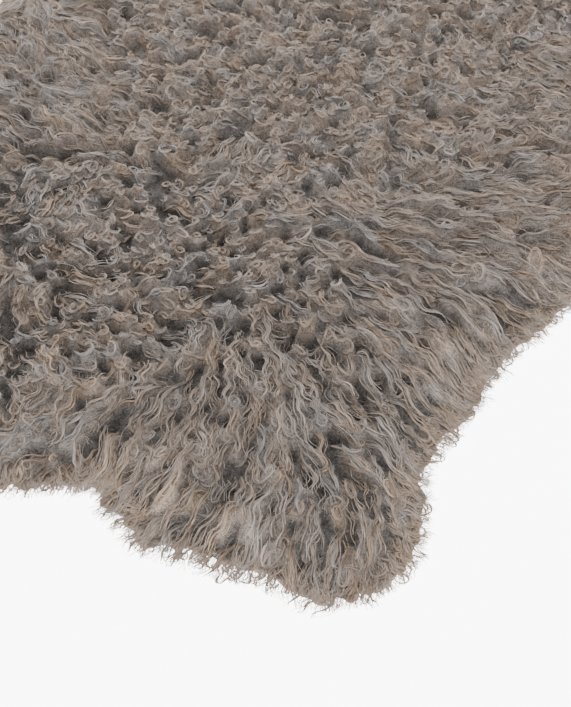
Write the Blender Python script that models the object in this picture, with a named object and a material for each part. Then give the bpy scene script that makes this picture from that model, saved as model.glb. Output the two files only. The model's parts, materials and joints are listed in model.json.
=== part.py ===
"""A curly sheepskin rug: one whole pelt lying wool side up on a floor.

Units are metres, +Z up, +Y from the tail towards the neck. The origin is on the floor, under the
middle of the pelt. The pelt is one solid: a flat-bottomed, lumpy slab of wool in the outline of
the hide, with wavy tapering locks standing out all round its rim and resting on the floor.
"""

import math

import bmesh
import bpy
import numpy as np
from mathutils import Vector, noise
from mathutils.geometry import delaunay_2d_cdt

# Edge of the wool body, from the tail round to the neck. The right-hand side is the +X one.
# landmark, right across, right along, left across, left along (m)
OUTLINE = (
    ("tail end", 0.004, -0.566, 0.004, -0.566),
    ("tail side", 0.050, -0.545, 0.046, -0.548),
    ("tail hollow", 0.106, -0.504, 0.098, -0.512),
    ("inner leg", 0.152, -0.521, 0.148, -0.522),
    ("heel", 0.187, -0.537, 0.192, -0.540),
    ("sole", 0.252, -0.523, 0.258, -0.532),
    ("toe", 0.318, -0.512, 0.322, -0.510),
    ("hind leg corner", 0.343, -0.463, 0.341, -0.452),
    ("hock", 0.314, -0.388, 0.312, -0.380),
    ("thigh", 0.311, -0.300, 0.314, -0.296),
    ("flank hollow", 0.315, -0.232, 0.318, -0.214),
    ("flank", 0.330, -0.162, 0.334, -0.140),
    ("belly", 0.350, -0.048, 0.348, -0.030),
    ("ribs", 0.346, 0.078, 0.342, 0.090),
    ("elbow", 0.318, 0.192, 0.312, 0.198),
    ("front leg", 0.330, 0.268, 0.326, 0.276),
    ("front leg corner", 0.338, 0.345, 0.330, 0.354),
    ("front toe", 0.286, 0.398, 0.276, 0.402),
    ("shoulder", 0.205, 0.404, 0.200, 0.412),
    ("neck root", 0.152, 0.446, 0.146, 0.454),
    ("neck side", 0.116, 0.500, 0.108, 0.504),
    ("neck end", 0.010, 0.532, 0.010, 0.532),
)

# Wool body
RIM_HEIGHT = 0.013
PILE_HEIGHT = 0.036
SHOULDER_WIDTH = 0.030
BROAD_LUMP = 0.006
BROAD_LUMP_SPAN = 0.130
TUFT_LUMP = 0.018
TUFT_SPAN = 0.055
TOP_SPACING = 0.0245
TOP_CLEARANCE = 0.014
TOP_JITTER = 0.18
BOTTOM_SPACING = 0.085
BOTTOM_CLEARANCE = 0.045

# Rim locks
LOCK_COUNT = 250
LOCK_STEPS = 3
LOCK_SHARE = 0.66
LOCK_REACH = (0.015, 0.035)
LOCK_HEIGHT = (0.010, 0.0025)
LOCK_TAPER = 0.34
LOCK_SWAY = 0.15
LOCK_WAVES = (0.8, 1.5)
TAILWARD_LEAN = 0.40
LEAN_SMOOTHING = 45
SEED = 31

# Curve sampling
SPLINE_SAMPLES = 40

WOOL_COLOUR = (0.200, 0.167, 0.146, 1.0)
WOOL_ROUGHNESS = 0.95


def clear_scene():
    """Remove every object that is already in the file."""
    for obj in list(bpy.data.objects):
        bpy.data.objects.remove(obj, do_unlink=True)


def landmark_points():
    """The outline's landmarks as one counter-clockwise loop, starting at the tail."""
    right = [(row[1], row[2]) for row in OUTLINE]
    left = [(-row[3], row[4]) for row in OUTLINE]
    return np.array(right + left[-1:0:-1])


def smooth_loop(points):
    """A closed Catmull-Rom curve through the points, sampled evenly between each two."""
    before, after, beyond = (np.roll(points, shift, axis=0) for shift in (1, -1, -2))
    t = (np.arange(SPLINE_SAMPLES) / SPLINE_SAMPLES)[None, :, None]
    p0, p1, p2, p3 = (p[:, None, :] for p in (before, points, after, beyond))
    linear = (p2 - p0) * t
    square = (2 * p0 - 5 * p1 + 4 * p2 - p3) * t**2
    cube = (3 * p1 - p0 - 3 * p2 + p3) * t**3
    return (0.5 * (2 * p1 + linear + square + cube)).reshape(-1, 2)


class Rim:
    """The edge of the wool body, measured by arc length from 0 to 1 round the pelt."""

    def __init__(self, loop):
        closed = np.vstack([loop, loop[:1]])
        steps = np.linalg.norm(np.diff(closed, axis=0), axis=1)
        self.arc = np.concatenate([[0.0], np.cumsum(steps)])
        self.length = self.arc[-1]
        self.arc /= self.length
        self.points = closed
        self.directions = self.lock_directions(loop)

    def lock_directions(self, loop):
        """Outward normals, leaning towards the tail along the sides and evened out round the rim."""
        tangent = np.roll(loop, -1, axis=0) - np.roll(loop, 1, axis=0)
        normal = np.stack([tangent[:, 1], -tangent[:, 0]], axis=1)
        normal /= np.linalg.norm(normal, axis=1, keepdims=True)
        normal[:, 1] -= TAILWARD_LEAN * np.abs(normal[:, 0])
        weights = np.hanning(2 * LEAN_SMOOTHING + 1)
        padded = np.vstack([normal[-LEAN_SMOOTHING:], normal, normal[:LEAN_SMOOTHING]])
        smooth = np.stack([np.convolve(padded[:, k], weights, "valid") for k in (0, 1)], axis=1)
        smooth /= np.linalg.norm(smooth, axis=1, keepdims=True)
        return np.vstack([smooth, smooth[:1]])

    def place(self, position, reach=0.0):
        """The point at an arc position, a distance outside the rim along the locks' direction."""
        around = np.mod(position, 1.0)
        edge = np.array([np.interp(around, self.arc, self.points[:, k]) for k in (0, 1)])
        lean = np.array([np.interp(around, self.arc, self.directions[:, k]) for k in (0, 1)])
        return edge + reach * lean / np.linalg.norm(lean)

    def distance(self, x, y):
        """How far a point is from the rim."""
        return float(np.min(np.hypot(self.points[:, 0] - x, self.points[:, 1] - y)))


def inside(loop, x, y):
    """Whether a point is inside a closed loop, by counting the edges crossed on the way out."""
    following = np.roll(loop, -1, axis=0)
    crosses = (loop[:, 1] > y) != (following[:, 1] > y)
    start, end = loop[crosses], following[crosses]
    at = start[:, 0] + (y - start[:, 1]) / (end[:, 1] - start[:, 1]) * (end[:, 0] - start[:, 0])
    return bool(np.count_nonzero(at > x) % 2)


def inner_points(rim, spacing, clearance, jitter, rng):
    """A staggered grid of points inside the rim, each moved a little at random."""
    low, high = rim.points.min(axis=0), rim.points.max(axis=0)
    found = []
    row_gap = spacing * math.sqrt(3) / 2
    for row in range(int((high[1] - low[1]) / row_gap) + 1):
        shift = spacing / 2 if row % 2 else 0.0
        for column in range(int((high[0] - low[0]) / spacing) + 2):
            x = low[0] + column * spacing - shift + rng.uniform(-jitter, jitter) * spacing
            y = low[1] + row * row_gap + rng.uniform(-jitter, jitter) * spacing
            if inside(rim.points[:-1], x, y) and rim.distance(x, y) > clearance:
                found.append((x, y))
    return found


def wool_height(rim, x, y):
    """Height of the pile: a rounded shoulder at the rim, broad swells and smaller tufts."""
    rise = 1.0 - math.exp(-rim.distance(x, y) / SHOULDER_WIDTH)
    broad = noise.noise(Vector((x, y, 0.0)) / BROAD_LUMP_SPAN)
    nearest = noise.voronoi(Vector((x, y, 0.0)) / TUFT_SPAN)[0][0]
    tuft = 0.5 - min(nearest, 1.0)
    full = PILE_HEIGHT + BROAD_LUMP * broad + TUFT_LUMP * tuft
    return RIM_HEIGHT + rise * (full - RIM_HEIGHT)


class LockPlan:
    """Where each rim lock stands, how far it reaches and how it sways."""

    def __init__(self, rim, rng):
        self.rim = rim
        self.pitch = 1.0 / LOCK_COUNT
        self.middle = (np.arange(LOCK_COUNT) + 0.5) * self.pitch
        self.reach = rng.uniform(*LOCK_REACH, LOCK_COUNT)
        self.phase = rng.uniform(0.0, 2 * math.pi, LOCK_COUNT)
        self.waves = rng.uniform(*LOCK_WAVES, LOCK_COUNT)

    def corner(self, lock, side, top, share):
        """One corner of a lock's section at a share of its reach."""
        half_width = 0.5 * LOCK_SHARE * (1.0 - (1.0 - LOCK_TAPER) * share)
        turn = 2 * math.pi * self.waves[lock] * share
        sway = LOCK_SWAY * (math.sin(turn + self.phase[lock]) - math.sin(self.phase[lock])) / 2
        position = self.middle[lock] + self.pitch * (sway + side * half_width)
        x, y = self.rim.place(position, self.reach[lock] * share)
        root_height, tip_height = LOCK_HEIGHT
        height = root_height + (tip_height - root_height) * share if top else 0.0
        return Vector((x, y, height))


def triangulated(loop, inner):
    """Points and triangles of the area inside a loop, with the inner points as corners too."""
    flat = [Vector(point) for point in loop] + [Vector(point) for point in inner]
    edges = [(k, (k + 1) % len(loop)) for k in range(len(loop))]
    points, _, faces, origin, _, _ = delaunay_2d_cdt(flat, edges, [], 1, 1e-6)
    first = [sources[0] if sources else len(flat) for sources in origin]
    return points, faces, first


def add_sheet(bm, loop, inner, height, upward):
    """Add one triangulated face of the slab and return its corners along the loop, in order."""
    points, faces, first = triangulated(loop, inner)
    verts = [bm.verts.new((p.x, p.y, height(p.x, p.y, k < len(loop)))) for p, k in zip(points, first)]
    for face in faces:
        bm.faces.new([verts[k] for k in (face if upward else reversed(face))])
    along = {k: vert for k, vert in zip(first, verts) if k < len(loop)}
    return [along[k] for k in range(len(loop))]


def add_walls(bm, bottom, top, layers):
    """Join the two sheets round the rim, and return the wall faces that locks grow from."""
    lock_layer, side_layer, top_layer = layers
    roots = []
    count = len(bottom)
    for k in range(count):
        for vert, level in ((bottom[k], 0), (top[k], 1)):
            vert[lock_layer] = k // 2
            vert[side_layer] = 1 if k % 2 else -1
            vert[top_layer] = level
        following = (k + 1) % count
        wall = bm.faces.new((bottom[k], bottom[following], top[following], top[k]))
        if k % 2 == 0:
            roots.append(wall)
    return roots


def grow_locks(bm, roots, plan, layers):
    """Extrude each root outwards in steps that taper, sway and keep its underside on the floor."""
    lock_layer, side_layer, top_layer = layers
    for step in range(1, LOCK_STEPS + 1):
        share = step / LOCK_STEPS
        roots = bmesh.ops.extrude_discrete_faces(bm, faces=roots)["faces"]
        for face in roots:
            for vert in face.verts:
                vert.co = plan.corner(vert[lock_layer], vert[side_layer], vert[top_layer], share)


def centre_on_floor(bm):
    """Move the pelt so that the middle of its bounding box is at the origin."""
    across = [vert.co.x for vert in bm.verts]
    along = [vert.co.y for vert in bm.verts]
    middle = Vector(((min(across) + max(across)) / 2, (min(along) + max(along)) / 2, 0.0))
    bmesh.ops.translate(bm, verts=bm.verts, vec=-middle)


def wool_material():
    """Matt taupe wool."""
    material = bpy.data.materials.new("wool")
    material.use_nodes = True
    shader = material.node_tree.nodes["Principled BSDF"]
    shader.inputs["Base Color"].default_value = WOOL_COLOUR
    shader.inputs["Roughness"].default_value = WOOL_ROUGHNESS
    shader.inputs["Metallic"].default_value = 0.0
    material.diffuse_color = WOOL_COLOUR
    return material


def build_sheepskin(collection):
    """Model the pelt and link it into the collection."""
    rng = np.random.default_rng(SEED)
    rim = Rim(smooth_loop(landmark_points()))
    plan = LockPlan(rim, rng)
    half_lock = 0.5 * LOCK_SHARE * plan.pitch
    loop = [rim.place(middle + side * half_lock) for middle in plan.middle for side in (-1, 1)]

    bm = bmesh.new()
    layers = [bm.verts.layers.int.new(name) for name in ("lock", "side", "top")]
    floor_points = inner_points(rim, BOTTOM_SPACING, BOTTOM_CLEARANCE, 0.0, rng)
    bottom = add_sheet(bm, loop, floor_points, lambda x, y, on_rim: 0.0, upward=False)

    def top_height(x, y, on_rim):
        return LOCK_HEIGHT[0] if on_rim else wool_height(rim, x, y)

    wool_points = inner_points(rim, TOP_SPACING, TOP_CLEARANCE, TOP_JITTER, rng)
    top = add_sheet(bm, loop, wool_points, top_height, upward=True)
    grow_locks(bm, add_walls(bm, bottom, top, layers), plan, layers)
    centre_on_floor(bm)

    mesh = bpy.data.meshes.new("sheepskin")
    bm.to_mesh(mesh)
    bm.free()
    mesh.materials.append(wool_material())
    mesh.shade_smooth()
    pelt = bpy.data.objects.new("sheepskin", mesh)
    collection.objects.link(pelt)
    return pelt


def main():
    clear_scene()
    collection = bpy.data.collections.new("sheepskin_rug")
    bpy.context.scene.collection.children.link(collection)
    build_sheepskin(collection)


main()
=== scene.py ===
"""Looks of a curly sheepskin rug: suede hide, dense underwool and the curled fleece over it.

Units are metres, and angles are in radians where nothing else is said. +Z is up and +Y runs from
the tail to the neck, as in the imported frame. The fleece is made of narrow ribbons. Each follows
the path of a wool lock, which is worked out for all locks at once: a heading that swings like a
wave and then winds into a ring is summed along the length. The underwool is a lumpy bed with a
soft ridge under each lock.
"""

from __future__ import annotations

import json
import logging
import math
from dataclasses import dataclass, field, fields
from enum import Enum, IntEnum

import bmesh
import bpy
import numpy as np
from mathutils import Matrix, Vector
from mathutils.bvhtree import BVHTree

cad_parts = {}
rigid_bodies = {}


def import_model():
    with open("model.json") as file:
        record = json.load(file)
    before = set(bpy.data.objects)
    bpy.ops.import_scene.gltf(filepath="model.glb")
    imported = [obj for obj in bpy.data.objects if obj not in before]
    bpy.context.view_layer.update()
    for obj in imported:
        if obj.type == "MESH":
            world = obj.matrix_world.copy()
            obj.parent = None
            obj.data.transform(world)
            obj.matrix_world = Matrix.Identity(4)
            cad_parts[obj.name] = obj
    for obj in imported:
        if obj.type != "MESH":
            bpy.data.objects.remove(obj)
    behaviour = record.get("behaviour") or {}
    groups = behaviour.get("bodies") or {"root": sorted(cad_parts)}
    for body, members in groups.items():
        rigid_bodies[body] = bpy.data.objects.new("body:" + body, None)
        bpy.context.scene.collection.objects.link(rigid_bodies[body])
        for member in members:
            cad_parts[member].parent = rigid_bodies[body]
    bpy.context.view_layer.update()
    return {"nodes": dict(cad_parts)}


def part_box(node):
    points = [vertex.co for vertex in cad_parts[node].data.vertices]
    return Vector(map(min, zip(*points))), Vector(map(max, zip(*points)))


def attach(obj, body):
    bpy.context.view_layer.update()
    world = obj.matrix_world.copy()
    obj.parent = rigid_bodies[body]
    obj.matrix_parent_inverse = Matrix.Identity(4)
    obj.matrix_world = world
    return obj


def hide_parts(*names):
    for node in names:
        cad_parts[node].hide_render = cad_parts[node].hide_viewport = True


LOG = logging.getLogger("sheepskin_rug")

NODE = "sheepskin"
BODY = "root"

# The most triangles in one piece of the fleece.
MOST_TRIANGLES = 190_000
# The strands' map has one column for each hue at each level of light.
TONE_LEVELS = 8
TONE_HUES = 4
TONE_COLUMNS = TONE_LEVELS * TONE_HUES
STRAND_MAP = "OFBake"
# The underwool's points carry their tone, and how high they stand for its painted shade, under this
# name.
TONE_NAME = "wool_tone"
# A place on a row of n points is read at n less this at most, so that one more point follows it.
ROW_END = 1.001

Pair = tuple[float, float]
Triple = tuple[float, float, float]
Colour = tuple[float, float, float, float]


class Slot(Enum):
    """The record's material slots."""

    WOOL = "wool"
    HIDE = "hide"


class Waves(IntEnum):
    """The seed of each smooth noise on the pelt."""

    LIE = 5
    COMBED = 11
    LUMPS = 21
    LIGHT = 31
    WARMTH = 32
    RUFFLE = 41
    REACH = 51
    RAGGED = 61


# --------------------------------------------------------------------------- fields on the pelt


def wave_noise(
    x: np.ndarray, y: np.ndarray, span: float, seed: Waves, waves: int = 28
) -> np.ndarray:
    """Smooth noise from -1 to 1: a sum of cosine waves in random directions.

    The sum is divided by the root of their number, cut off at the limit to each side and then
    divided by that limit.

    Args:
        x: positions across, in metres.
        y: positions along, in metres.
        span: the middle wavelength, in metres.
        seed: picks the waves.
        waves: how many are summed.

    Returns:
        One value for each position.
    """
    limit = 1.6
    rng = np.random.default_rng(int(seed))
    turn = rng.uniform(0.0, 2 * math.pi, waves)
    rate = 2 * math.pi / (span * rng.uniform(0.65, 1.8, waves))
    phase = rng.uniform(0.0, 2 * math.pi, waves)
    total = np.zeros(np.broadcast(x, y).shape)
    for k in range(waves):
        total += np.cos(rate[k] * (x * math.cos(turn[k]) + y * math.sin(turn[k])) + phase[k])
    return np.clip(total / math.sqrt(waves), -limit, limit) / limit


def smoothstep(value: np.ndarray, low: float, high: float) -> np.ndarray:
    """A rise from 0 at low to 1 at high, level at both ends: 3t^2 - 2t^3 of the clipped share t."""
    t = np.clip((value - low) / (high - low), 0.0, 1.0)
    return t * t * (3.0 - 2.0 * t)


def bell(
    x: np.ndarray,
    y: np.ndarray,
    across: float | np.ndarray,
    along: float | np.ndarray,
    radius: float,
) -> np.ndarray:
    """A bell curve round a place: exp(-r^2 / radius^2) of the distance r to it."""
    return np.exp(-((x - across) ** 2 + (y - along) ** 2) / radius**2)


def read_grid(
    grid: np.ndarray, low: np.ndarray, cell: float, x: np.ndarray, y: np.ndarray
) -> np.ndarray:
    """Read a grid between its points, by mixing the four around each position.

    Args:
        grid: the values, across by along.
        low: position of the first value.
        cell: grid spacing.
        x: positions across.
        y: positions along.

    Returns:
        The values there.
    """
    u = np.clip((x - low[0]) / cell, 0.0, grid.shape[0] - ROW_END)
    v = np.clip((y - low[1]) / cell, 0.0, grid.shape[1] - ROW_END)
    i, j = u.astype(int), v.astype(int)
    u, v = u - i, v - j
    near = grid[i, j] * (1 - v) + grid[i, j + 1] * v
    far = grid[i + 1, j] * (1 - v) + grid[i + 1, j + 1] * v
    return near * (1 - u) + far * u


@dataclass
class PeltField:
    """Height of the wool and distance to its rim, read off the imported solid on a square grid.

    Attributes:
        cell: grid spacing.
        margin: how far the grid runs past the solid's box.
        slab_height: the rim height of the wool body, over which a point counts as inside it.
        blur_passes: how often the distance is evened out before its slope is taken.
        rim_drop: how fast the wool sinks to the floor outside the rim.
        floor_layer: height that wool lying on the floor keeps.
        low: position of the first grid point.
        height: of the wool at each grid point.
        inward: distance of each grid point to the rim, positive inside.
        outward_x: how much that distance falls a metre, across.
        outward_y: how much it falls a metre, along.
    """

    cell: float = 0.004
    margin: float = 0.060
    slab_height: float = 0.0102
    blur_passes: int = 14
    rim_drop: float = 0.016
    floor_layer: float = 0.0022
    low: np.ndarray = field(init=False)
    height: np.ndarray = field(init=False)
    inward: np.ndarray = field(init=False)
    outward_x: np.ndarray = field(init=False)
    outward_y: np.ndarray = field(init=False)

    def read(self, node: bpy.types.Object) -> None:
        """Fill the grids from the solid.

        The height is what a ray cast straight down first meets. The distance is that to the
        nearest grid point at the rim, positive inside the wool body.

        Args:
            node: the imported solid.
        """
        corner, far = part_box(NODE)
        self.low = np.array([corner.x, corner.y]) - self.margin
        span = np.array([far.x, far.y]) + self.margin - self.low
        columns, rows = (int(math.ceil(side / self.cell)) + 1 for side in span)
        x = self.low[0] + self.cell * np.arange(columns)
        y = self.low[1] + self.cell * np.arange(rows)
        mesh_x, mesh_y = np.meshgrid(x, y, indexing="ij")
        tree = BVHTree.FromObject(node, bpy.context.evaluated_depsgraph_get())
        top, down = far.z + self.margin, Vector((0.0, 0.0, -1.0))
        hits = [
            tree.ray_cast(Vector((px, py, top)), down)[0]
            for px, py in zip(mesh_x.ravel(), mesh_y.ravel())
        ]
        height = np.array([hit.z if hit else 0.0 for hit in hits]).reshape(mesh_x.shape)
        inside = height > self.slab_height
        self.inward = self.signed_distance(mesh_x, mesh_y, inside)
        outside = self.floor_layer + (self.slab_height - self.floor_layer) * np.exp(
            np.minimum(self.inward, 0.0) / self.rim_drop
        )
        self.height = self.blurred(np.where(inside, height, outside), 1)
        slope = self.blurred(self.inward, self.blur_passes)
        self.outward_x, self.outward_y = (-part for part in np.gradient(slope, self.cell))

    def signed_distance(self, x: np.ndarray, y: np.ndarray, inside: np.ndarray) -> np.ndarray:
        """Distance to the rim, positive inside: the least of the distances to all rim points.

        Args:
            x: the grid's positions across.
            y: the grid's positions along.
            inside: whether each grid point is in the wool body.

        Returns:
            The distance of each grid point.
        """
        near = np.zeros_like(inside)
        near[1:-1, 1:-1] = inside[1:-1, 1:-1] & ~(
            inside[:-2, 1:-1] & inside[2:, 1:-1] & inside[1:-1, :-2] & inside[1:-1, 2:]
        )
        rim_x, rim_y = x[near], y[near]
        rows = [
            np.sqrt(np.min((line_x[:, None] - rim_x) ** 2 + (line_y[:, None] - rim_y) ** 2, axis=1))
            for line_x, line_y in zip(x, y)
        ]
        return np.array(rows) * np.where(inside, 1.0, -1.0)

    @staticmethod
    def blurred(grid: np.ndarray, passes: int) -> np.ndarray:
        """The grid after each value is averaged with its neighbours, a number of times.

        Args:
            grid: the values.
            passes: how often they are averaged.

        Returns:
            The smoothed values.
        """
        for _ in range(passes):
            padded = np.pad(grid, 1, mode="edge")
            grid = (padded[:-2, 1:-1] + padded[2:, 1:-1] + 2.0 * grid) / 4.0
            padded = np.pad(grid, 1, mode="edge")
            grid = (padded[1:-1, :-2] + padded[1:-1, 2:] + 2.0 * grid) / 4.0
        return grid

    def sample(self, grid: np.ndarray, x: np.ndarray, y: np.ndarray) -> np.ndarray:
        """Read one of this field's grids between its points."""
        return read_grid(grid, self.low, self.cell, x, y)

    def places(self) -> list[np.ndarray]:
        """Positions across and along of the grid's points."""
        lines = (low + self.cell * np.arange(count) for low, count in zip(self.low, self.height.shape))
        return np.meshgrid(*lines, indexing="ij")

    def scattered(
        self, spacing: float, jitter: float, inset: float, rng: np.random.Generator
    ) -> np.ndarray:
        """Positions on a staggered grid, each moved a little, that are inside the rim.

        Rows are the spacing times the root of 3/4 apart, as in a net of equal triangles.

        Args:
            spacing: distance between neighbours.
            jitter: how far a position moves, as a share of the spacing.
            inset: least distance to the rim.
            rng: random numbers.

        Returns:
            An array of positions, one row each.
        """
        row_share = math.sqrt(0.75)
        columns = int(self.height.shape[0] * self.cell / spacing) + 1
        rows = int(self.height.shape[1] * self.cell / (spacing * row_share)) + 1
        net = np.meshgrid(np.arange(columns), np.arange(rows), indexing="ij")
        i, j = (part.ravel() for part in net)
        places = np.stack([(i + 0.5 * (j % 2)) * spacing, j * spacing * row_share], axis=1)
        places += self.low + spacing * rng.uniform(-jitter, jitter, places.shape)
        return places[self.sample(self.inward, places[:, 0], places[:, 1]) > inset]


@dataclass(frozen=True)
class Guide:
    """A place where the lie of the wool was read off the pelt.

    Attributes:
        across: position, +X to the right.
        along: position, +Y to the neck.
        heading: the way the wool lies, in degrees from +X towards +Y.
        combed: 0 for tight rings to 1 for long, combed waves.
    """

    across: float
    along: float
    heading: float
    combed: float


@dataclass(frozen=True)
class Hollow:
    """A place where the wool parts and its dark foot shows.

    Attributes:
        across: position, +X to the right.
        along: position, +Y to the neck.
        radius: how far it reaches.
        depth: how far the wool sinks there.
    """

    across: float
    along: float
    radius: float
    depth: float


RIGHT_HIND_GUIDES = (
    Guide(0.130, -0.155, 23, 0.9),
    Guide(0.200, -0.105, 30, 1.0),
    Guide(0.275, -0.055, 42, 0.9),
    Guide(0.180, -0.175, 15, 1.0),
    Guide(0.255, -0.135, 16, 1.0),
    Guide(0.315, -0.110, 30, 0.8),
    Guide(0.235, -0.190, 8, 0.9),
    Guide(0.220, -0.235, -28, 0.9),
    Guide(0.260, -0.220, -22, 1.0),
    Guide(0.300, -0.215, -20, 1.0),
    Guide(0.330, -0.175, 35, 0.5),
    Guide(0.215, -0.310, -20, 0.8),
    Guide(0.240, -0.280, -34, 0.9),
    Guide(0.275, -0.300, 20, 0.9),
    Guide(0.295, -0.255, 3, 1.0),
    Guide(0.335, -0.260, -35, 0.7),
    Guide(0.170, -0.280, -38, 0.6),
    Guide(0.135, -0.350, -53, 1.0),
    Guide(0.185, -0.385, -56, 1.0),
    Guide(0.150, -0.405, -64, 1.0),
    Guide(0.170, -0.325, -50, 0.9),
    Guide(0.225, -0.420, -53, 1.0),
    Guide(0.105, -0.385, -105, 0.9),
    Guide(0.085, -0.430, -105, 0.9),
    Guide(0.080, -0.470, -70, 0.8),
    Guide(0.180, -0.485, -105, 0.9),
    Guide(0.220, -0.485, -92, 0.9),
    Guide(0.170, -0.515, -105, 0.7),
    Guide(0.280, -0.470, -78, 1.0),
    Guide(0.285, -0.435, -78, 1.0),
    Guide(0.305, -0.445, -72, 1.0),
    Guide(0.270, -0.500, -75, 1.0),
    Guide(0.315, -0.430, -60, 1.0),
    Guide(0.315, -0.385, -50, 0.9),
    Guide(0.340, -0.400, -52, 0.8),
    Guide(0.265, -0.375, -12, 0.5),
    Guide(0.300, -0.355, -45, 0.8),
    Guide(0.350, -0.460, -70, 0.5),
)
BACK_GUIDES = (
    Guide(-0.110, -0.235, -38, 0.3),
    Guide(0.025, -0.105, -86, 0.6),
    Guide(0.055, -0.500, -110, 0.6),
    Guide(-0.060, -0.305, 16, 0.0),
    Guide(0.035, -0.310, 30, 0.0),
    Guide(-0.010, -0.405, -10, 0.0),
    Guide(0.050, -0.370, 25, 0.1),
    Guide(0.095, -0.245, 30, 0.0),
    Guide(0.015, -0.195, 5, 0.0),
    Guide(0.060, -0.085, -72, 0.1),
    Guide(0.140, -0.040, -25, 0.2),
    Guide(0.215, -0.030, 30, 0.6),
    Guide(0.240, 0.055, 42, 0.4),
    Guide(0.150, 0.020, 30, 0.3),
)
HOLLOWS = (
    Hollow(0.110, -0.360, 0.022, 0.012),
    Hollow(0.108, -0.178, 0.016, 0.010),
    Hollow(0.180, -0.190, 0.020, 0.008),
    Hollow(0.172, -0.300, 0.018, 0.009),
    Hollow(0.295, -0.175, 0.020, 0.009),
    Hollow(-0.030, -0.380, 0.022, 0.009),
    Hollow(0.245, -0.325, 0.018, 0.008),
    Hollow(0.060, -0.330, 0.018, 0.008),
    Hollow(0.285, -0.400, 0.016, 0.007),
    Hollow(-0.020, -0.160, 0.020, 0.007),
)


@dataclass(frozen=True)
class Flare:
    """A stretch of the rim where the locks reach further than elsewhere, or less far.

    Attributes:
        across: position, +X to the right.
        along: position, +Y to the neck.
        radius: how far it reaches.
        extra: what is added to the locks' reach past the rim.
    """

    across: float
    along: float
    radius: float
    extra: float


FLARES = (
    Flare(0.341, -0.274, 0.030, 0.009),
    Flare(0.348, -0.395, 0.035, 0.006),
    Flare(0.278, -0.516, 0.024, -0.008),
    Flare(0.222, -0.524, 0.030, -0.009),
    Flare(0.200, -0.525, 0.018, -0.008),
    Flare(0.117, -0.522, 0.020, 0.009),
    Flare(0.065, -0.530, 0.025, -0.006),
)


def mirrored(guides: tuple[Guide, ...]) -> tuple[Guide, ...]:
    """The same guides on the pelt's other side: across and the heading's own across turned over."""
    return tuple(Guide(-g.across, g.along, 180.0 - g.heading, g.combed) for g in guides)


def bell_at(place: Hollow | Flare, x: np.ndarray, y: np.ndarray) -> np.ndarray:
    """A bell curve round a hollow or a flare, 1 at its middle."""
    return bell(x, y, place.across, place.along, place.radius)


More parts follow.
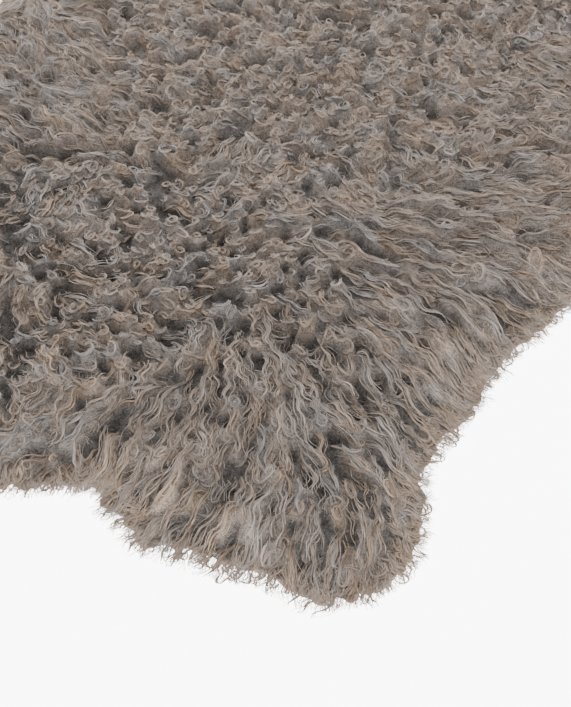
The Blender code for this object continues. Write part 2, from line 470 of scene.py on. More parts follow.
@dataclass
class WoolLie:
    """Which way the wool lies and how it curls at any place on the pelt, and where painted shade is
    evened out.

    Attributes:
        pelt: the field that it lies on.
        tailward: how much the wool leans to the tail.
        stray: how far the lie wanders, in radians.
        stray_span: over what distance it wanders.
        calming: share of this wandering that is lost close to guides.
        combed_from: distance to the rim at which the wool is fully curled.
        combed_to: distance to the rim at which it is fully combed.
        patch: how far that border wanders.
        patch_span: over what distance it wanders.
        guide_radius: how far a guide reaches.
        general: weight of the general lie beside one guide.
        dense_from: the places along the back over which the share that evens out painted light and
            shade rises.
        evening: share of the painted light and shade between locks that is lost towards the neck.
        guides: places where the lie is known.
        hollows: places where the wool parts.
        flares: places where the rim's locks reach further or less far.
    """

    pelt: PeltField
    tailward: float = 0.40
    stray: float = 0.45
    stray_span: float = 0.085
    calming: float = 0.6
    combed_from: float = 0.195
    combed_to: float = 0.110
    patch: float = 0.055
    patch_span: float = 0.130
    guide_radius: float = 0.036
    general: float = 0.12
    dense_from: Pair = (-0.28, -0.04)
    evening: float = 0.6
    guides: tuple[Guide, ...] = RIGHT_HIND_GUIDES + mirrored(RIGHT_HIND_GUIDES) + BACK_GUIDES
    hollows: tuple[Hollow, ...] = HOLLOWS
    flares: tuple[Flare, ...] = FLARES

    def guide_weights(self, x: np.ndarray, y: np.ndarray) -> np.ndarray:
        """How much each guide counts at each position, as bell curves round them.

        Args:
            x: positions across.
            y: positions along.

        Returns:
            Weights (guide, position).
        """
        across = np.array([guide.across for guide in self.guides])[:, None]
        along = np.array([guide.along for guide in self.guides])[:, None]
        return bell(x, y, across, along, self.guide_radius)

    def heading(self, x: np.ndarray, y: np.ndarray, outward: float) -> np.ndarray:
        """The angle in which wool rooted at each position lies.

        It is that of the weighted sum of the guides and of the general lie, which is the outward
        slope plus a tailward lean. Smooth noise turns the sum a little.

        Args:
            x: positions across.
            y: positions along.
            outward: share of the outward slope in the result.

        Returns:
            Angles in radians, 0 along +X.
        """
        turn = np.radians([guide.heading for guide in self.guides])
        weights = self.guide_weights(x, y)
        out_x = self.pelt.sample(self.pelt.outward_x, x, y)
        out_y = self.pelt.sample(self.pelt.outward_y, x, y)
        way_x = self.general * out_x + np.cos(turn) @ weights
        way_y = self.general * (out_y - self.tailward) + np.sin(turn) @ weights
        size = np.maximum(np.hypot(way_x, way_y), 1e-6)
        way_x = (1.0 - outward) * way_x / size + outward * out_x
        way_y = (1.0 - outward) * way_y / size + outward * out_y
        calm = 1.0 - self.calming * np.minimum(weights.sum(axis=0), 1.0)
        stray = self.stray * calm * wave_noise(x, y, self.stray_span, Waves.LIE)
        return np.arctan2(way_y, way_x) + stray

    def combed(self, x: np.ndarray, y: np.ndarray) -> np.ndarray:
        """How combed the wool is, from 0 on the back, in tight rings, to 1 near the rim.

        Args:
            x: positions across.
            y: positions along.

        Returns:
            Shares from 0 to 1.
        """
        depth = self.pelt.sample(self.pelt.inward, x, y)
        depth = depth + self.patch * wave_noise(x, y, self.patch_span, Waves.COMBED)
        general = 1.0 - smoothstep(depth, self.combed_to, self.combed_from)
        weights = self.guide_weights(x, y)
        known = np.array([guide.combed for guide in self.guides]) @ weights
        return (self.general * general + known) / (self.general + weights.sum(axis=0))

    def dense(self, y: np.ndarray) -> np.ndarray:
        """A share from 0 near the tail to 1 on the back and the neck, by which painted light is added
        and painted shade evened out.
        """
        return smoothstep(y, *self.dense_from)

    def contrast(self, y: np.ndarray) -> np.ndarray:
        """How much of the painted light and shade between locks is left, which is less towards the
        neck.
        """
        return 1.0 - self.evening * self.dense(y)

    def flared(self, x: np.ndarray, y: np.ndarray) -> np.ndarray:
        """What the flares on both sides of the pelt add to the reach, as bell curves round them."""
        side = np.abs(x)
        return sum(flare.extra * bell_at(flare, side, y) for flare in self.flares)

    def sunk(self, x: np.ndarray, y: np.ndarray) -> np.ndarray:
        """How far the wool sinks in the hollows at each position, as bell curves round them."""
        return sum(hollow.depth * bell_at(hollow, x, y) for hollow in self.hollows)


# --------------------------------------------------------------------------- meshes


def mesh_object(
    name: str, verts: np.ndarray, quads: np.ndarray, smooth: bool = True
) -> bpy.types.Object:
    """Make an object from arrays of corners and four-sided faces.

    Args:
        name: the piece's name.
        verts: corner positions, one row each.
        quads: corner numbers, four a row.
        smooth: whether the faces are shaded as one curved surface.

    Returns:
        The new object, linked into the scene.
    """
    mesh = bpy.data.meshes.new(name)
    mesh.vertices.add(len(verts))
    mesh.vertices.foreach_set("co", verts.astype(np.float32).ravel())
    mesh.loops.add(quads.size)
    mesh.loops.foreach_set("vertex_index", quads.astype(np.int32).ravel())
    mesh.polygons.add(len(quads))
    mesh.polygons.foreach_set("loop_start", np.arange(0, quads.size, 4, dtype=np.int32))
    mesh.update(calc_edges=True)
    mesh.polygons.foreach_set("use_smooth", np.full(len(quads), smooth))
    obj = bpy.data.objects.new(name, mesh)
    bpy.context.scene.collection.objects.link(obj)
    return obj


def dress(piece: bpy.types.Object, material: bpy.types.Material) -> None:
    """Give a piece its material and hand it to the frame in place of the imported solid.

    Args:
        piece: the piece.
        material: its finish.
    """
    piece.data.materials.append(material)
    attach(piece, BODY)
    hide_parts(NODE)


@dataclass
class RimGrid:
    """A square grid over the pelt whose outermost points are drawn in to a line inside the rim.

    Attributes:
        pelt: the field that it covers.
        cell: grid spacing.
        inset: how far inside the wool body's rim the line runs, less than 0 for outside.
        wander: how far it strays outwards from there, at each point of the field.
        pulls: how often an outer point is moved towards the line.
        least_slope: the outward slope counts as at least this, so that no move is too long.
        x: positions across of its points.
        y: positions along of its points.
        quads: its faces' corner numbers.
        on_edge: whether each point lies on the line.
        dome_points: the numbers of those points that a dome has kept, in its order.
    """

    pelt: PeltField
    cell: float
    inset: float
    wander: np.ndarray | float = 0.0
    pulls: int = 3
    least_slope: float = 0.3
    x: np.ndarray = field(init=False)
    y: np.ndarray = field(init=False)
    quads: np.ndarray = field(init=False)
    on_edge: np.ndarray = field(init=False)
    dome_points: np.ndarray = field(init=False)

    def __post_init__(self) -> None:
        """Lay the grid and draw its outer points in.

        A cell is kept where one of its corners is inside the line. A kept corner outside it
        moves against the outward slope by its distance, several times, and so ends on the line.
        """
        size = [int(n * self.pelt.cell / self.cell) for n in self.pelt.height.shape]
        across, along = np.meshgrid(np.arange(size[0]), np.arange(size[1]), indexing="ij")
        x = self.pelt.low[0] + self.cell * across.astype(float)
        y = self.pelt.low[1] + self.cell * along.astype(float)
        distance = self.pelt.inward + self.wander
        inside = self.pelt.sample(distance, x, y) > self.inset
        kept = inside[:-1, :-1] | inside[1:, :-1] | inside[1:, 1:] | inside[:-1, 1:]
        number = np.arange(x.size).reshape(x.shape)
        corners = (number[:-1, :-1], number[1:, :-1], number[1:, 1:], number[:-1, 1:])
        quads = np.stack([part[kept] for part in corners], axis=1)
        used, self.quads = np.unique(quads, return_inverse=True)
        self.quads = self.quads.reshape(-1, 4)
        self.x, self.y = x.ravel()[used], y.ravel()[used]
        outer = ~inside.ravel()[used]
        for _ in range(self.pulls):
            short = self.inset - self.pelt.sample(distance, self.x[outer], self.y[outer])
            slope_x = self.pelt.sample(self.pelt.outward_x, self.x[outer], self.y[outer])
            slope_y = self.pelt.sample(self.pelt.outward_y, self.x[outer], self.y[outer])
            slope = np.maximum(np.hypot(slope_x, slope_y), self.least_slope)
            self.x[outer] -= short * slope_x / slope
            self.y[outer] -= short * slope_y / slope
        self.on_edge = outer

    def inner_faces(self) -> np.ndarray:
        """Whether each face has a corner inside the line."""
        return ~self.on_edge[self.quads].all(axis=1)

    def closed_shell(self, top: np.ndarray, bottom: np.ndarray) -> tuple[np.ndarray, np.ndarray]:
        """Two sheets on this grid, one over the other, that share the points on the line.

        Args:
            top: height of the upper sheet at each point.
            bottom: height of the lower sheet at each point.

        Returns:
            Corner positions and four-sided faces.
        """
        edge = np.where(self.on_edge, bottom, top)
        upper = np.stack([self.x, self.y, edge], axis=1)
        inner = ~self.on_edge
        lower = np.stack([self.x[inner], self.y[inner], bottom[inner]], axis=1)
        twin = np.arange(len(self.x))
        twin[inner] = len(self.x) + np.arange(inner.sum())
        faces = np.vstack([self.quads, twin[self.quads][:, ::-1]])
        return np.vstack([upper, lower]), faces[np.tile(self.inner_faces(), 2)]

    def dome(self, name: str, top: np.ndarray, floor: float) -> bpy.types.Object:
        """A closed piece with this grid as its top and one flat face under it.

        Args:
            name: of the piece.
            top: height at each point.
            floor: height of the flat face and of the grid's outermost points.

        Returns:
            The new object.
        """
        self.dome_points, quads = np.unique(self.quads[self.inner_faces()], return_inverse=True)
        verts = np.stack([self.x, self.y, top], axis=1)[self.dome_points]
        made = mesh_object(name, verts, quads.reshape(-1, 4))
        shell = bmesh.new()
        shell.from_mesh(made.data)
        open_edges = [edge for edge in shell.edges if edge.is_boundary]
        for vert in {vert for edge in open_edges for vert in edge.verts}:
            vert.co.z = floor
        filled = bmesh.ops.holes_fill(shell, edges=open_edges)
        for face in filled["faces"]:
            face.smooth = False
        bmesh.ops.recalc_face_normals(shell, faces=shell.faces)
        shell.to_mesh(made.data)
        shell.free()
        return made


# --------------------------------------------------------------------------- finishes


class NodePad:
    """A short way to write a material's nodes.

    Attributes:
        material: the material.
        tree: its nodes.
        shader: its Principled shader.
    """

    def __init__(self, name: str) -> None:
        """Make a material with a Principled shader and nothing linked to its inputs.

        Args:
            name: of the material.
        """
        self.material = bpy.data.materials.new(name)
        self.material.use_nodes = True
        self.tree = self.material.node_tree
        self.shader = self.tree.nodes["Principled BSDF"]

    def node(self, kind: str, **settings: object) -> bpy.types.Node:
        """Add a node and set its properties.

        Args:
            kind: the node's type.
            **settings: its properties and their values.

        Returns:
            The new node.
        """
        made = self.tree.nodes.new(kind)
        for key, value in settings.items():
            setattr(made, key, value)
        return made

    def feed(self, socket: bpy.types.NodeSocket, value: object) -> None:
        """Link a socket to another one, or set it to a plain value.

        Args:
            socket: the input.
            value: an output to link to it, or its value.
        """
        if isinstance(value, bpy.types.NodeSocket):
            self.tree.links.new(value, socket)
        else:
            socket.default_value = value

    def split(self, vector: bpy.types.NodeSocket) -> tuple[bpy.types.NodeSocket, ...]:
        """The three parts of a vector.

        Args:
            vector: the vector.

        Returns:
            Its x, y and z.
        """
        made = self.node("ShaderNodeSeparateXYZ")
        self.feed(made.inputs[0], vector)
        return tuple(made.outputs)

    def maths(
        self, operation: str, first: object, second: object = 0.0, clamp: bool = False
    ) -> bpy.types.NodeSocket:
        """Reckon with one or two numbers.

        Args:
            operation: the Math node's operation.
            first: its first number.
            second: its second number.
            clamp: whether the result is kept from 0 to 1.

        Returns:
            The result.
        """
        made = self.node("ShaderNodeMath", operation=operation, use_clamp=clamp)
        self.feed(made.inputs[0], first)
        self.feed(made.inputs[1], second)
        return made.outputs[0]

    def scaled(self, value: object, factor: float, offset: object) -> bpy.types.NodeSocket:
        """The value times a factor, plus an offset.

        Args:
            value: the value.
            factor: what it is multiplied by.
            offset: what is added then.

        Returns:
            The result.
        """
        made = self.maths("MULTIPLY_ADD", value, factor)
        self.feed(made.node.inputs[2], offset)
        return made

    def mix(
        self, share: object, first: object, second: object, blend: str = "MIX"
    ) -> bpy.types.NodeSocket:
        """Mix two colours.

        Args:
            share: of the second colour.
            first: the first colour.
            second: the second colour.
            blend: how they are mixed.

        Returns:
            The mixed colour.
        """
        made = self.node("ShaderNodeMix", data_type="RGBA", blend_type=blend)
        self.feed(made.inputs[0], share)
        self.feed(made.inputs[6], first)
        self.feed(made.inputs[7], second)
        return made.outputs[2]

    def lit(self, colour: object, light: bpy.types.NodeSocket) -> bpy.types.NodeSocket:
        """A colour whose three parts are multiplied by the same light.

        Args:
            colour: the colour.
            light: the factor.

        Returns:
            The lighter or darker colour.
        """
        grey = self.node("ShaderNodeCombineColor")
        for socket in grey.inputs:
            self.feed(socket, light)
        return self.mix(1.0, colour, grey.outputs[0], "MULTIPLY")

    def ramp(
        self, value: bpy.types.NodeSocket, stops: tuple[tuple[float, tuple[float, ...]], ...]
    ) -> bpy.types.NodeSocket:
        """Turn a value into a colour by a ramp.

        Args:
            value: the value, from 0 to 1.
            stops: places on the ramp, each with its colour.

        Returns:
            The colour.
        """
        made = self.node("ShaderNodeValToRGB")
        points = made.color_ramp.elements
        while len(points) < len(stops):
            points.new(1.0)
        for point, (place, colour) in zip(points, stops):
            point.position = place
            point.color = (*colour[:3], 1.0)
        self.feed(made.inputs[0], value)
        return made.outputs[0]

    def noise(
        self,
        vector: bpy.types.NodeSocket,
        scale: float,
        detail: float = 3.0,
        distortion: float = 0.0,
    ) -> bpy.types.NodeSocket:
        """The grey value of a Noise texture.

        Args:
            vector: where it is read.
            scale: waves a metre.
            detail: how many finer layers it has.
            distortion: how much it is warped.

        Returns:
            The value, from 0 to 1.
        """
        made = self.node("ShaderNodeTexNoise")
        self.feed(made.inputs["Vector"], vector)
        made.inputs["Scale"].default_value = scale
        made.inputs["Detail"].default_value = detail
        made.inputs["Distortion"].default_value = distortion
        return made.outputs[0]

    def mapped(
        self,
        vector: bpy.types.NodeSocket,
        scale: Triple = (1.0, 1.0, 1.0),
        shift: Triple = (0.0, 0.0, 0.0),
    ) -> bpy.types.NodeSocket:
        """Coordinates multiplied by a scale for each axis, and then moved.

        Args:
            vector: the coordinates.
            scale: factor for each axis.
            shift: how far they are moved.

        Returns:
            The new coordinates.
        """
        made = self.node("ShaderNodeMapping")
        self.feed(made.inputs["Vector"], vector)
        made.inputs["Scale"].default_value = scale
        made.inputs["Location"].default_value = shift
        return made.outputs[0]

    def bump(self, height: bpy.types.NodeSocket, strength: float, distance: float) -> None:
        """Feed a height to the shader's normal.

        Args:
            height: from 0 to 1.
            strength: of the bump.
            distance: depth that a height of 1 stands for.
        """
        made = self.node("ShaderNodeBump")
        made.inputs["Strength"].default_value = strength
        made.inputs["Distance"].default_value = distance
        self.feed(made.inputs["Height"], height)
        self.feed(self.shader.inputs["Normal"], made.outputs[0])


@dataclass(frozen=True)
class WoolFinish:
    """Taupe wool, by the strand's own map: tone columns across and root to tip upwards.

    The map's first coordinate holds a column for each tone, and within it the place across
    the strand. A column is one of TONE_HUES hues, from cool grey to warm tan, at one of
    TONE_LEVELS levels of light. A lock's level holds its own tone and its painted light and shade.

    Attributes:
        cool: colour of the greyest wool.
        warm: colour of the warmest wool.
        dimmest: light of the darkest column.
        brightest: light of the lightest column.
        root: light at the root, where painted shade darkens the strand most.
        waist: light at the waist, where that painted shade is less.
        tip: light at the tip.
        waist_at: place of the waist, as a share of the length.
        crest: light along the strand's middle line, the lightest part of its painted rounding.
        edge_loss: painted shade that darkens it towards its sides, as on a round strand.
        streak: how strong the fibres show along it: their own streaks, with painted highlights and
            shade.
        streak_scale: how many fibres cross a column, and how often they change along it.
        streak_band: values of their noise at which they are darkest and lightest.
        roughness: of the shader.
        specular: of the shader.
        sheen: of the shader.
    """

    cool: Colour = (0.312, 0.280, 0.260, 1.0)
    warm: Colour = (0.357, 0.266, 0.199, 1.0)
    dimmest: float = 0.50
    brightest: float = 1.30
    root: float = 0.62
    waist: float = 0.94
    tip: float = 1.08
    waist_at: float = 0.45
    crest: float = 1.16
    edge_loss: float = 0.35
    streak: float = 0.46
    streak_scale: Pair = (3.4, 5.0)
    streak_band: Pair = (0.36, 0.64)
    roughness: float = 0.7
    specular: float = 0.15
    sheen: float = 0.05

    def material(self) -> bpy.types.Material:
        """Build the material.

        The light is that of the column, times crest - edge_loss * (2d)^2 at a distance d from
        the middle of the column, times the fibres' noise, times the ramp from root to tip. The
        fall towards the sides and towards the root is painted shade.

        Returns:
            The material.
        """
        pad = NodePad("curly_wool")
        place = pad.node("ShaderNodeUVMap", uv_map=STRAND_MAP).outputs[0]
        across, upwards, _ = pad.split(place)
        columns = pad.maths("MULTIPLY", across, float(TONE_COLUMNS))
        column = pad.maths("FLOOR", columns)
        hue_step = pad.maths("FLOOR", pad.maths("DIVIDE", column, float(TONE_LEVELS)))
        hue_start = pad.maths("MULTIPLY", hue_step, float(TONE_LEVELS))
        level_step = pad.maths("SUBTRACT", column, hue_start)
        hue = pad.maths("DIVIDE", hue_step, float(TONE_HUES - 1), clamp=True)
        level = pad.maths("DIVIDE", level_step, float(TONE_LEVELS - 1), clamp=True)
        light = pad.scaled(level, self.brightest - self.dimmest, self.dimmest)
        # Painted shade: the strand is lightest along its middle and darker to its sides, as a round
        # one.
        aside = pad.maths("SUBTRACT", pad.maths("FRACT", columns), 0.5)
        painted_edge_shade = pad.maths("MULTIPLY", pad.maths("MULTIPLY", aside, aside), -4.0 * self.edge_loss)
        body = pad.maths("ADD", painted_edge_shade, self.crest)
        # The fibres' streaks: partly their own tone, partly painted highlights and painted shade.
        fibre_scale = (TONE_COLUMNS * self.streak_scale[0], self.streak_scale[1], 1.0)
        fibres = pad.noise(pad.mapped(place, fibre_scale), 1.0, 2.0)
        dark, bright = self.streak_band
        streak_stops = (
            (dark, (1.0 - self.streak,) * 3),
            (0.5, (1.0,) * 3),
            (bright, (1.0 + self.streak,) * 3),
        )
        streak = pad.ramp(fibres, streak_stops)
        shade = pad.maths("MULTIPLY", pad.maths("MULTIPLY", light, body), streak)
        # Painted shade darkens the strand towards its root, where other locks lie over it.
        root_shade_stops = (
            (0.0, (self.root,) * 3),
            (self.waist_at, (self.waist,) * 3),
            (1.0, (self.tip,) * 3),
        )
        colour = pad.mix(hue, self.cool, self.warm)
        colour = pad.mix(1.0, colour, pad.ramp(upwards, root_shade_stops), "MULTIPLY")
        pad.feed(pad.shader.inputs["Base Color"], pad.lit(colour, shade))
        pad.shader.inputs["Roughness"].default_value = self.roughness
        pad.shader.inputs["Specular IOR Level"].default_value = self.specular
        pad.shader.inputs["Sheen Weight"].default_value = self.sheen
        return pad.material


@dataclass(frozen=True)
class UnderwoolFinish:
    """Dense wool between the locks, in the tones that its own points carry.

    The points hold the light, the warmth and how high they stand; low points, in the gaps, get
    painted shade. Crossing curly fibres are lines where smooth noise passes its middle value.

    Attributes:
        cool: colour of the greyest wool.
        warm: colour of the warmest wool.
        dimmest: light where the points' own is 0.
        brightest: light where the points' own is 1.
        deep: painted shade at the bottom of the gaps: the light there, as a share of that on the
            ridges.
        scale: how fine its curls are, in waves a metre.
        layers: fineness of each layer of fibres, as a multiple of that scale.
        shift: how far each layer is moved from the one before, in metres.
        warp: how much the fibres curl.
        fineness: how thin they are.
        fibre: height of one of them.
        clouds: height of the soft lumps under them.
        drowned: height under which nothing of them shows.
        contrast: how much lighter they are than what is between them.
        ground_loss: light that the ground between them loses, as a share of that contrast.
        sunken: share of the contrast that is left at the bottom of the gaps, where painted shade dims
            the fibres.
        bump_strength: of the fibres' relief.
        bump_depth: of the fibres' relief, in metres.
        roughness: of the shader.
        specular: of the shader.
    """

    cool: Colour = (0.294, 0.268, 0.252, 1.0)
    warm: Colour = (0.340, 0.260, 0.202, 1.0)
    dimmest: float = 0.50
    brightest: float = 1.30
    deep: float = 0.29
    scale: float = 130.0
    layers: Triple = (1.0, 1.8, 3.1)
    shift: Pair = (3.1, 1.7)
    warp: float = 1.4
    fineness: float = 6.5
    fibre: float = 0.30
    clouds: float = 0.6
    drowned: float = 0.30
    contrast: float = 1.10
    ground_loss: float = 0.45
    sunken: float = 0.50
    bump_strength: float = 0.7
    bump_depth: float = 0.002
    roughness: float = 0.9
    specular: float = 0.1

    def material(self) -> bpy.types.Material:
        """Build the material.

        Returns:
            The material.
        """
        pad = NodePad("underwool")
        tone = pad.node("ShaderNodeAttribute", attribute_name=TONE_NAME)
        light, warmth, stand = pad.split(tone.outputs["Vector"])
        place = pad.node("ShaderNodeTexCoord").outputs["Object"]
        height = pad.maths("MULTIPLY", pad.noise(place, self.scale * 0.5, 2.0, 0.6), self.clouds)
        for number, finer in enumerate(self.layers):
            shift = (self.shift[0] * number, self.shift[1] * number, 0.0)
            curl = pad.noise(pad.mapped(place, shift=shift), self.scale * finer, 1.0, self.warp)
            away = pad.maths("ABSOLUTE", pad.maths("SUBTRACT", curl, 0.5))
            line = pad.maths("SUBTRACT", 1.0, pad.maths("MULTIPLY", away, self.fineness), clamp=True)
            height = pad.maths("ADD", height, pad.maths("MULTIPLY", line, self.fibre))
        ground = 1.0 - self.ground_loss * self.contrast
        # Painted shade: the ground between the fibres is darker where the points stand low, in the
        # gaps.
        between = pad.scaled(stand, (1.0 - self.deep) * ground, self.deep * ground)
        shown = pad.maths("SUBTRACT", height, self.drowned, clamp=True)
        fibres = pad.maths("MULTIPLY", shown, self.contrast)
        # Painted shade dims the fibres in the gaps as well.
        fibres = pad.maths("MULTIPLY", fibres, pad.scaled(stand, 1.0 - self.sunken, self.sunken))
        overall = pad.scaled(light, self.brightest - self.dimmest, self.dimmest)
        shade = pad.maths("MULTIPLY", overall, pad.maths("ADD", between, fibres))
        # The colour goes to the cool one where the points stand low.
        colour = pad.mix(pad.maths("MULTIPLY", warmth, stand), self.cool, self.warm)
        pad.feed(pad.shader.inputs["Base Color"], pad.lit(colour, shade))
        pad.shader.inputs["Roughness"].default_value = self.roughness
        pad.shader.inputs["Specular IOR Level"].default_value = self.specular
        pad.bump(height, self.bump_strength, self.bump_depth)
        return pad.material


@dataclass(frozen=True)
class SuedeFinish:
    """The skin's flesh side: pale tan suede with a short nap and cloudy patches.

    Attributes:
        pale: the lighter tan.
        deep: the darker tan.
        band: values of the patches and the nap together at which it is darkest and palest.
        cloud: patches a metre.
        cloud_share: how much the patches count.
        nap: fibres a metre.
        nap_share: how much the nap counts.
        nap_strength: of the nap's relief.
        nap_depth: of the nap's relief, in metres.
        roughness: of the shader.
    """

    pale: Triple = (0.46, 0.36, 0.27)
    deep: Triple = (0.33, 0.245, 0.175)
    band: Pair = (0.35, 0.75)
    cloud: float = 14.0
    cloud_share: float = 0.85
    nap: float = 900.0
    nap_share: float = 0.25
    nap_strength: float = 0.25
    nap_depth: float = 0.0006
    roughness: float = 0.93

    def material(self) -> bpy.types.Material:
        """Build the material.

        Returns:
            The material.
        """
        pad = NodePad("tan_suede")
        place = pad.node("ShaderNodeTexCoord").outputs["Object"]
        clouds = pad.maths("MULTIPLY", pad.noise(place, self.cloud, 5.0, 0.4), self.cloud_share)
        nap = pad.noise(place, self.nap, 3.0)
        mixed = pad.scaled(nap, self.nap_share, clouds)
        colour = pad.ramp(mixed, ((self.band[0], self.deep), (self.band[1], self.pale)))
        pad.feed(pad.shader.inputs["Base Color"], colour)
        pad.shader.inputs["Roughness"].default_value = self.roughness
        pad.bump(nap, self.nap_strength, self.nap_depth)
        return pad.material


@dataclass(frozen=True)
class FloorFinish:
    """Plain near-white studio floor, lit a little from itself as a light table is.

    Attributes:
        colour: of the floor.
        glow: strength of its own white light.
        roughness: of the shader.
    """

    colour: Colour = (0.93, 0.93, 0.935, 1.0)
    glow: float = 8.0
    roughness: float = 1.0

    def material(self) -> bpy.types.Material:
        """Build the material.

        Returns:
            The material.
        """
        pad = NodePad("studio_floor")
        pad.shader.inputs["Base Color"].default_value = self.colour
        pad.shader.inputs["Roughness"].default_value = self.roughness
        pad.shader.inputs["Emission Color"].default_value = (1.0, 1.0, 1.0, 1.0)
        pad.shader.inputs["Emission Strength"].default_value = self.glow
        return pad.material


# --------------------------------------------------------------------------- hide and underwool


@dataclass
class Hide:
    """The tanned skin under the wool.

    Attributes:
        pelt: the field that gives its outline.
        thickness: of the leather.
        inset: how far its cut edge lies inside the wool body's rim.
        cell: grid spacing.
        finish: of the leather.
    """

    pelt: PeltField
    thickness: float = 0.0020
    inset: float = 0.014
    cell: float = 0.017
    finish: SuedeFinish = SuedeFinish()

    def build(self) -> bpy.types.Object:
        """Make the skin as a closed flat sheet with a skived edge.

        Returns:
            The finished piece.
        """
        grid = RimGrid(self.pelt, self.cell, self.inset)
        flat = np.zeros_like(grid.x)
        verts, quads = grid.closed_shell(flat + self.thickness, flat)
        hide = mesh_object("hide", verts, quads)
        dress(hide, self.finish.material())
        return hide

    @staticmethod
    def polygon_area(x: np.ndarray, y: np.ndarray) -> float:
        """Total area of the four-sided faces, by the sum of the cross products of their sides."""
        cross = x * np.roll(y, -1, axis=1) - np.roll(x, -1, axis=1) * y
        return float(np.abs(cross.sum(axis=1)).sum() / 2.0)


@dataclass
class WoolRelief:
    """The soft ridges that the locks raise on the foot of the fleece, on a fine square grid.

    Attributes:
        pelt: the field whose grid it makes finer.
        cell: grid spacing.
        ridge: half the width of a ridge at a lock's root.
        taper: share of that width that is lost at its tip.
        drop: how far a ridge falls to its sides.
        sink: how far a ridge's crest lies under its lock.
        samples: stamped places along each lock.
        reach: cells to each side that a stamp can cover.
        plain: light and warmth between the ridges.
        height: of the ridges at each grid point, 0 between them.
        light: of the lock on top, with its painted light and shade.
        warmth: of the lock on top.
    """

    pelt: PeltField
    cell: float = 0.0022
    ridge: float = 0.0050
    taper: float = 0.45
    drop: float = 0.0060
    sink: float = 0.0008
    samples: int = 36
    reach: int = 2
    plain: Pair = (0.5, 0.4)
    height: np.ndarray = field(init=False)
    light: np.ndarray = field(init=False)
    warmth: np.ndarray = field(init=False)

    def __post_init__(self) -> None:
        """Lay the grid, with nothing raised."""
        size = [int(n * self.pelt.cell / self.cell) + 1 for n in self.pelt.height.shape]
        self.height = np.zeros(size)
        self.light, self.warmth = (np.full(size, value) for value in self.plain)

    def stamp(self, paths: np.ndarray, light: np.ndarray, warmth: np.ndarray) -> None:
        """Raise a ridge along each lock, and leave the tone of the lock that lies on top.

        A stamp at distance d from the path's middle has the path's height less the sink and
        less drop * (d / half width)^2. Each grid point keeps the highest stamp.

        Args:
            paths: points (lock, step, 3).
            light: one value a lock.
            warmth: one value a lock.
        """
        place = np.linspace(0.0, paths.shape[1] - ROW_END, self.samples)
        before = place.astype(int)
        mix = (place - before)[None, :, None]
        points = paths[:, before] * (1.0 - mix) + paths[:, before + 1] * mix
        half = self.ridge * (1.0 - self.taper * np.linspace(0.0, 1.0, self.samples))
        half = np.broadcast_to(half, points.shape[:2]).ravel()
        lock = np.repeat(np.arange(len(paths)), self.samples)
        points = points.reshape(-1, 3)
        column = np.round((points[:, 0] - self.pelt.low[0]) / self.cell).astype(int)
        row = np.round((points[:, 1] - self.pelt.low[1]) / self.cell).astype(int)
        span = range(-self.reach, self.reach + 1)
        stamps = []
        for i, j in ((i, j) for i in span for j in span):
            at = (
                np.clip(column + i, 0, self.height.shape[0] - 1),
                np.clip(row + j, 0, self.height.shape[1] - 1),
            )
            apart = np.hypot(
                self.pelt.low[0] + at[0] * self.cell - points[:, 0],
                self.pelt.low[1] + at[1] * self.cell - points[:, 1],
            )
            raised = points[:, 2] - self.sink - self.drop * (apart / half) ** 2
            raised = np.where(apart < half, raised, 0.0)
            np.maximum.at(self.height, at, raised)
            stamps.append((at, raised))
        for at, raised in stamps:
            on_top = (raised > 0.0) & (raised >= self.height[at])
            self.light[at[0][on_top], at[1][on_top]] = light[lock[on_top]]
            self.warmth[at[0][on_top], at[1][on_top]] = warmth[lock[on_top]]

    def smoothed(self, grid: np.ndarray, x: np.ndarray, y: np.ndarray) -> np.ndarray:
        """Read one of this relief's grids between its points, after one round of blurring."""
        return read_grid(PeltField.blurred(grid, 1), self.pelt.low, self.cell, x, y)


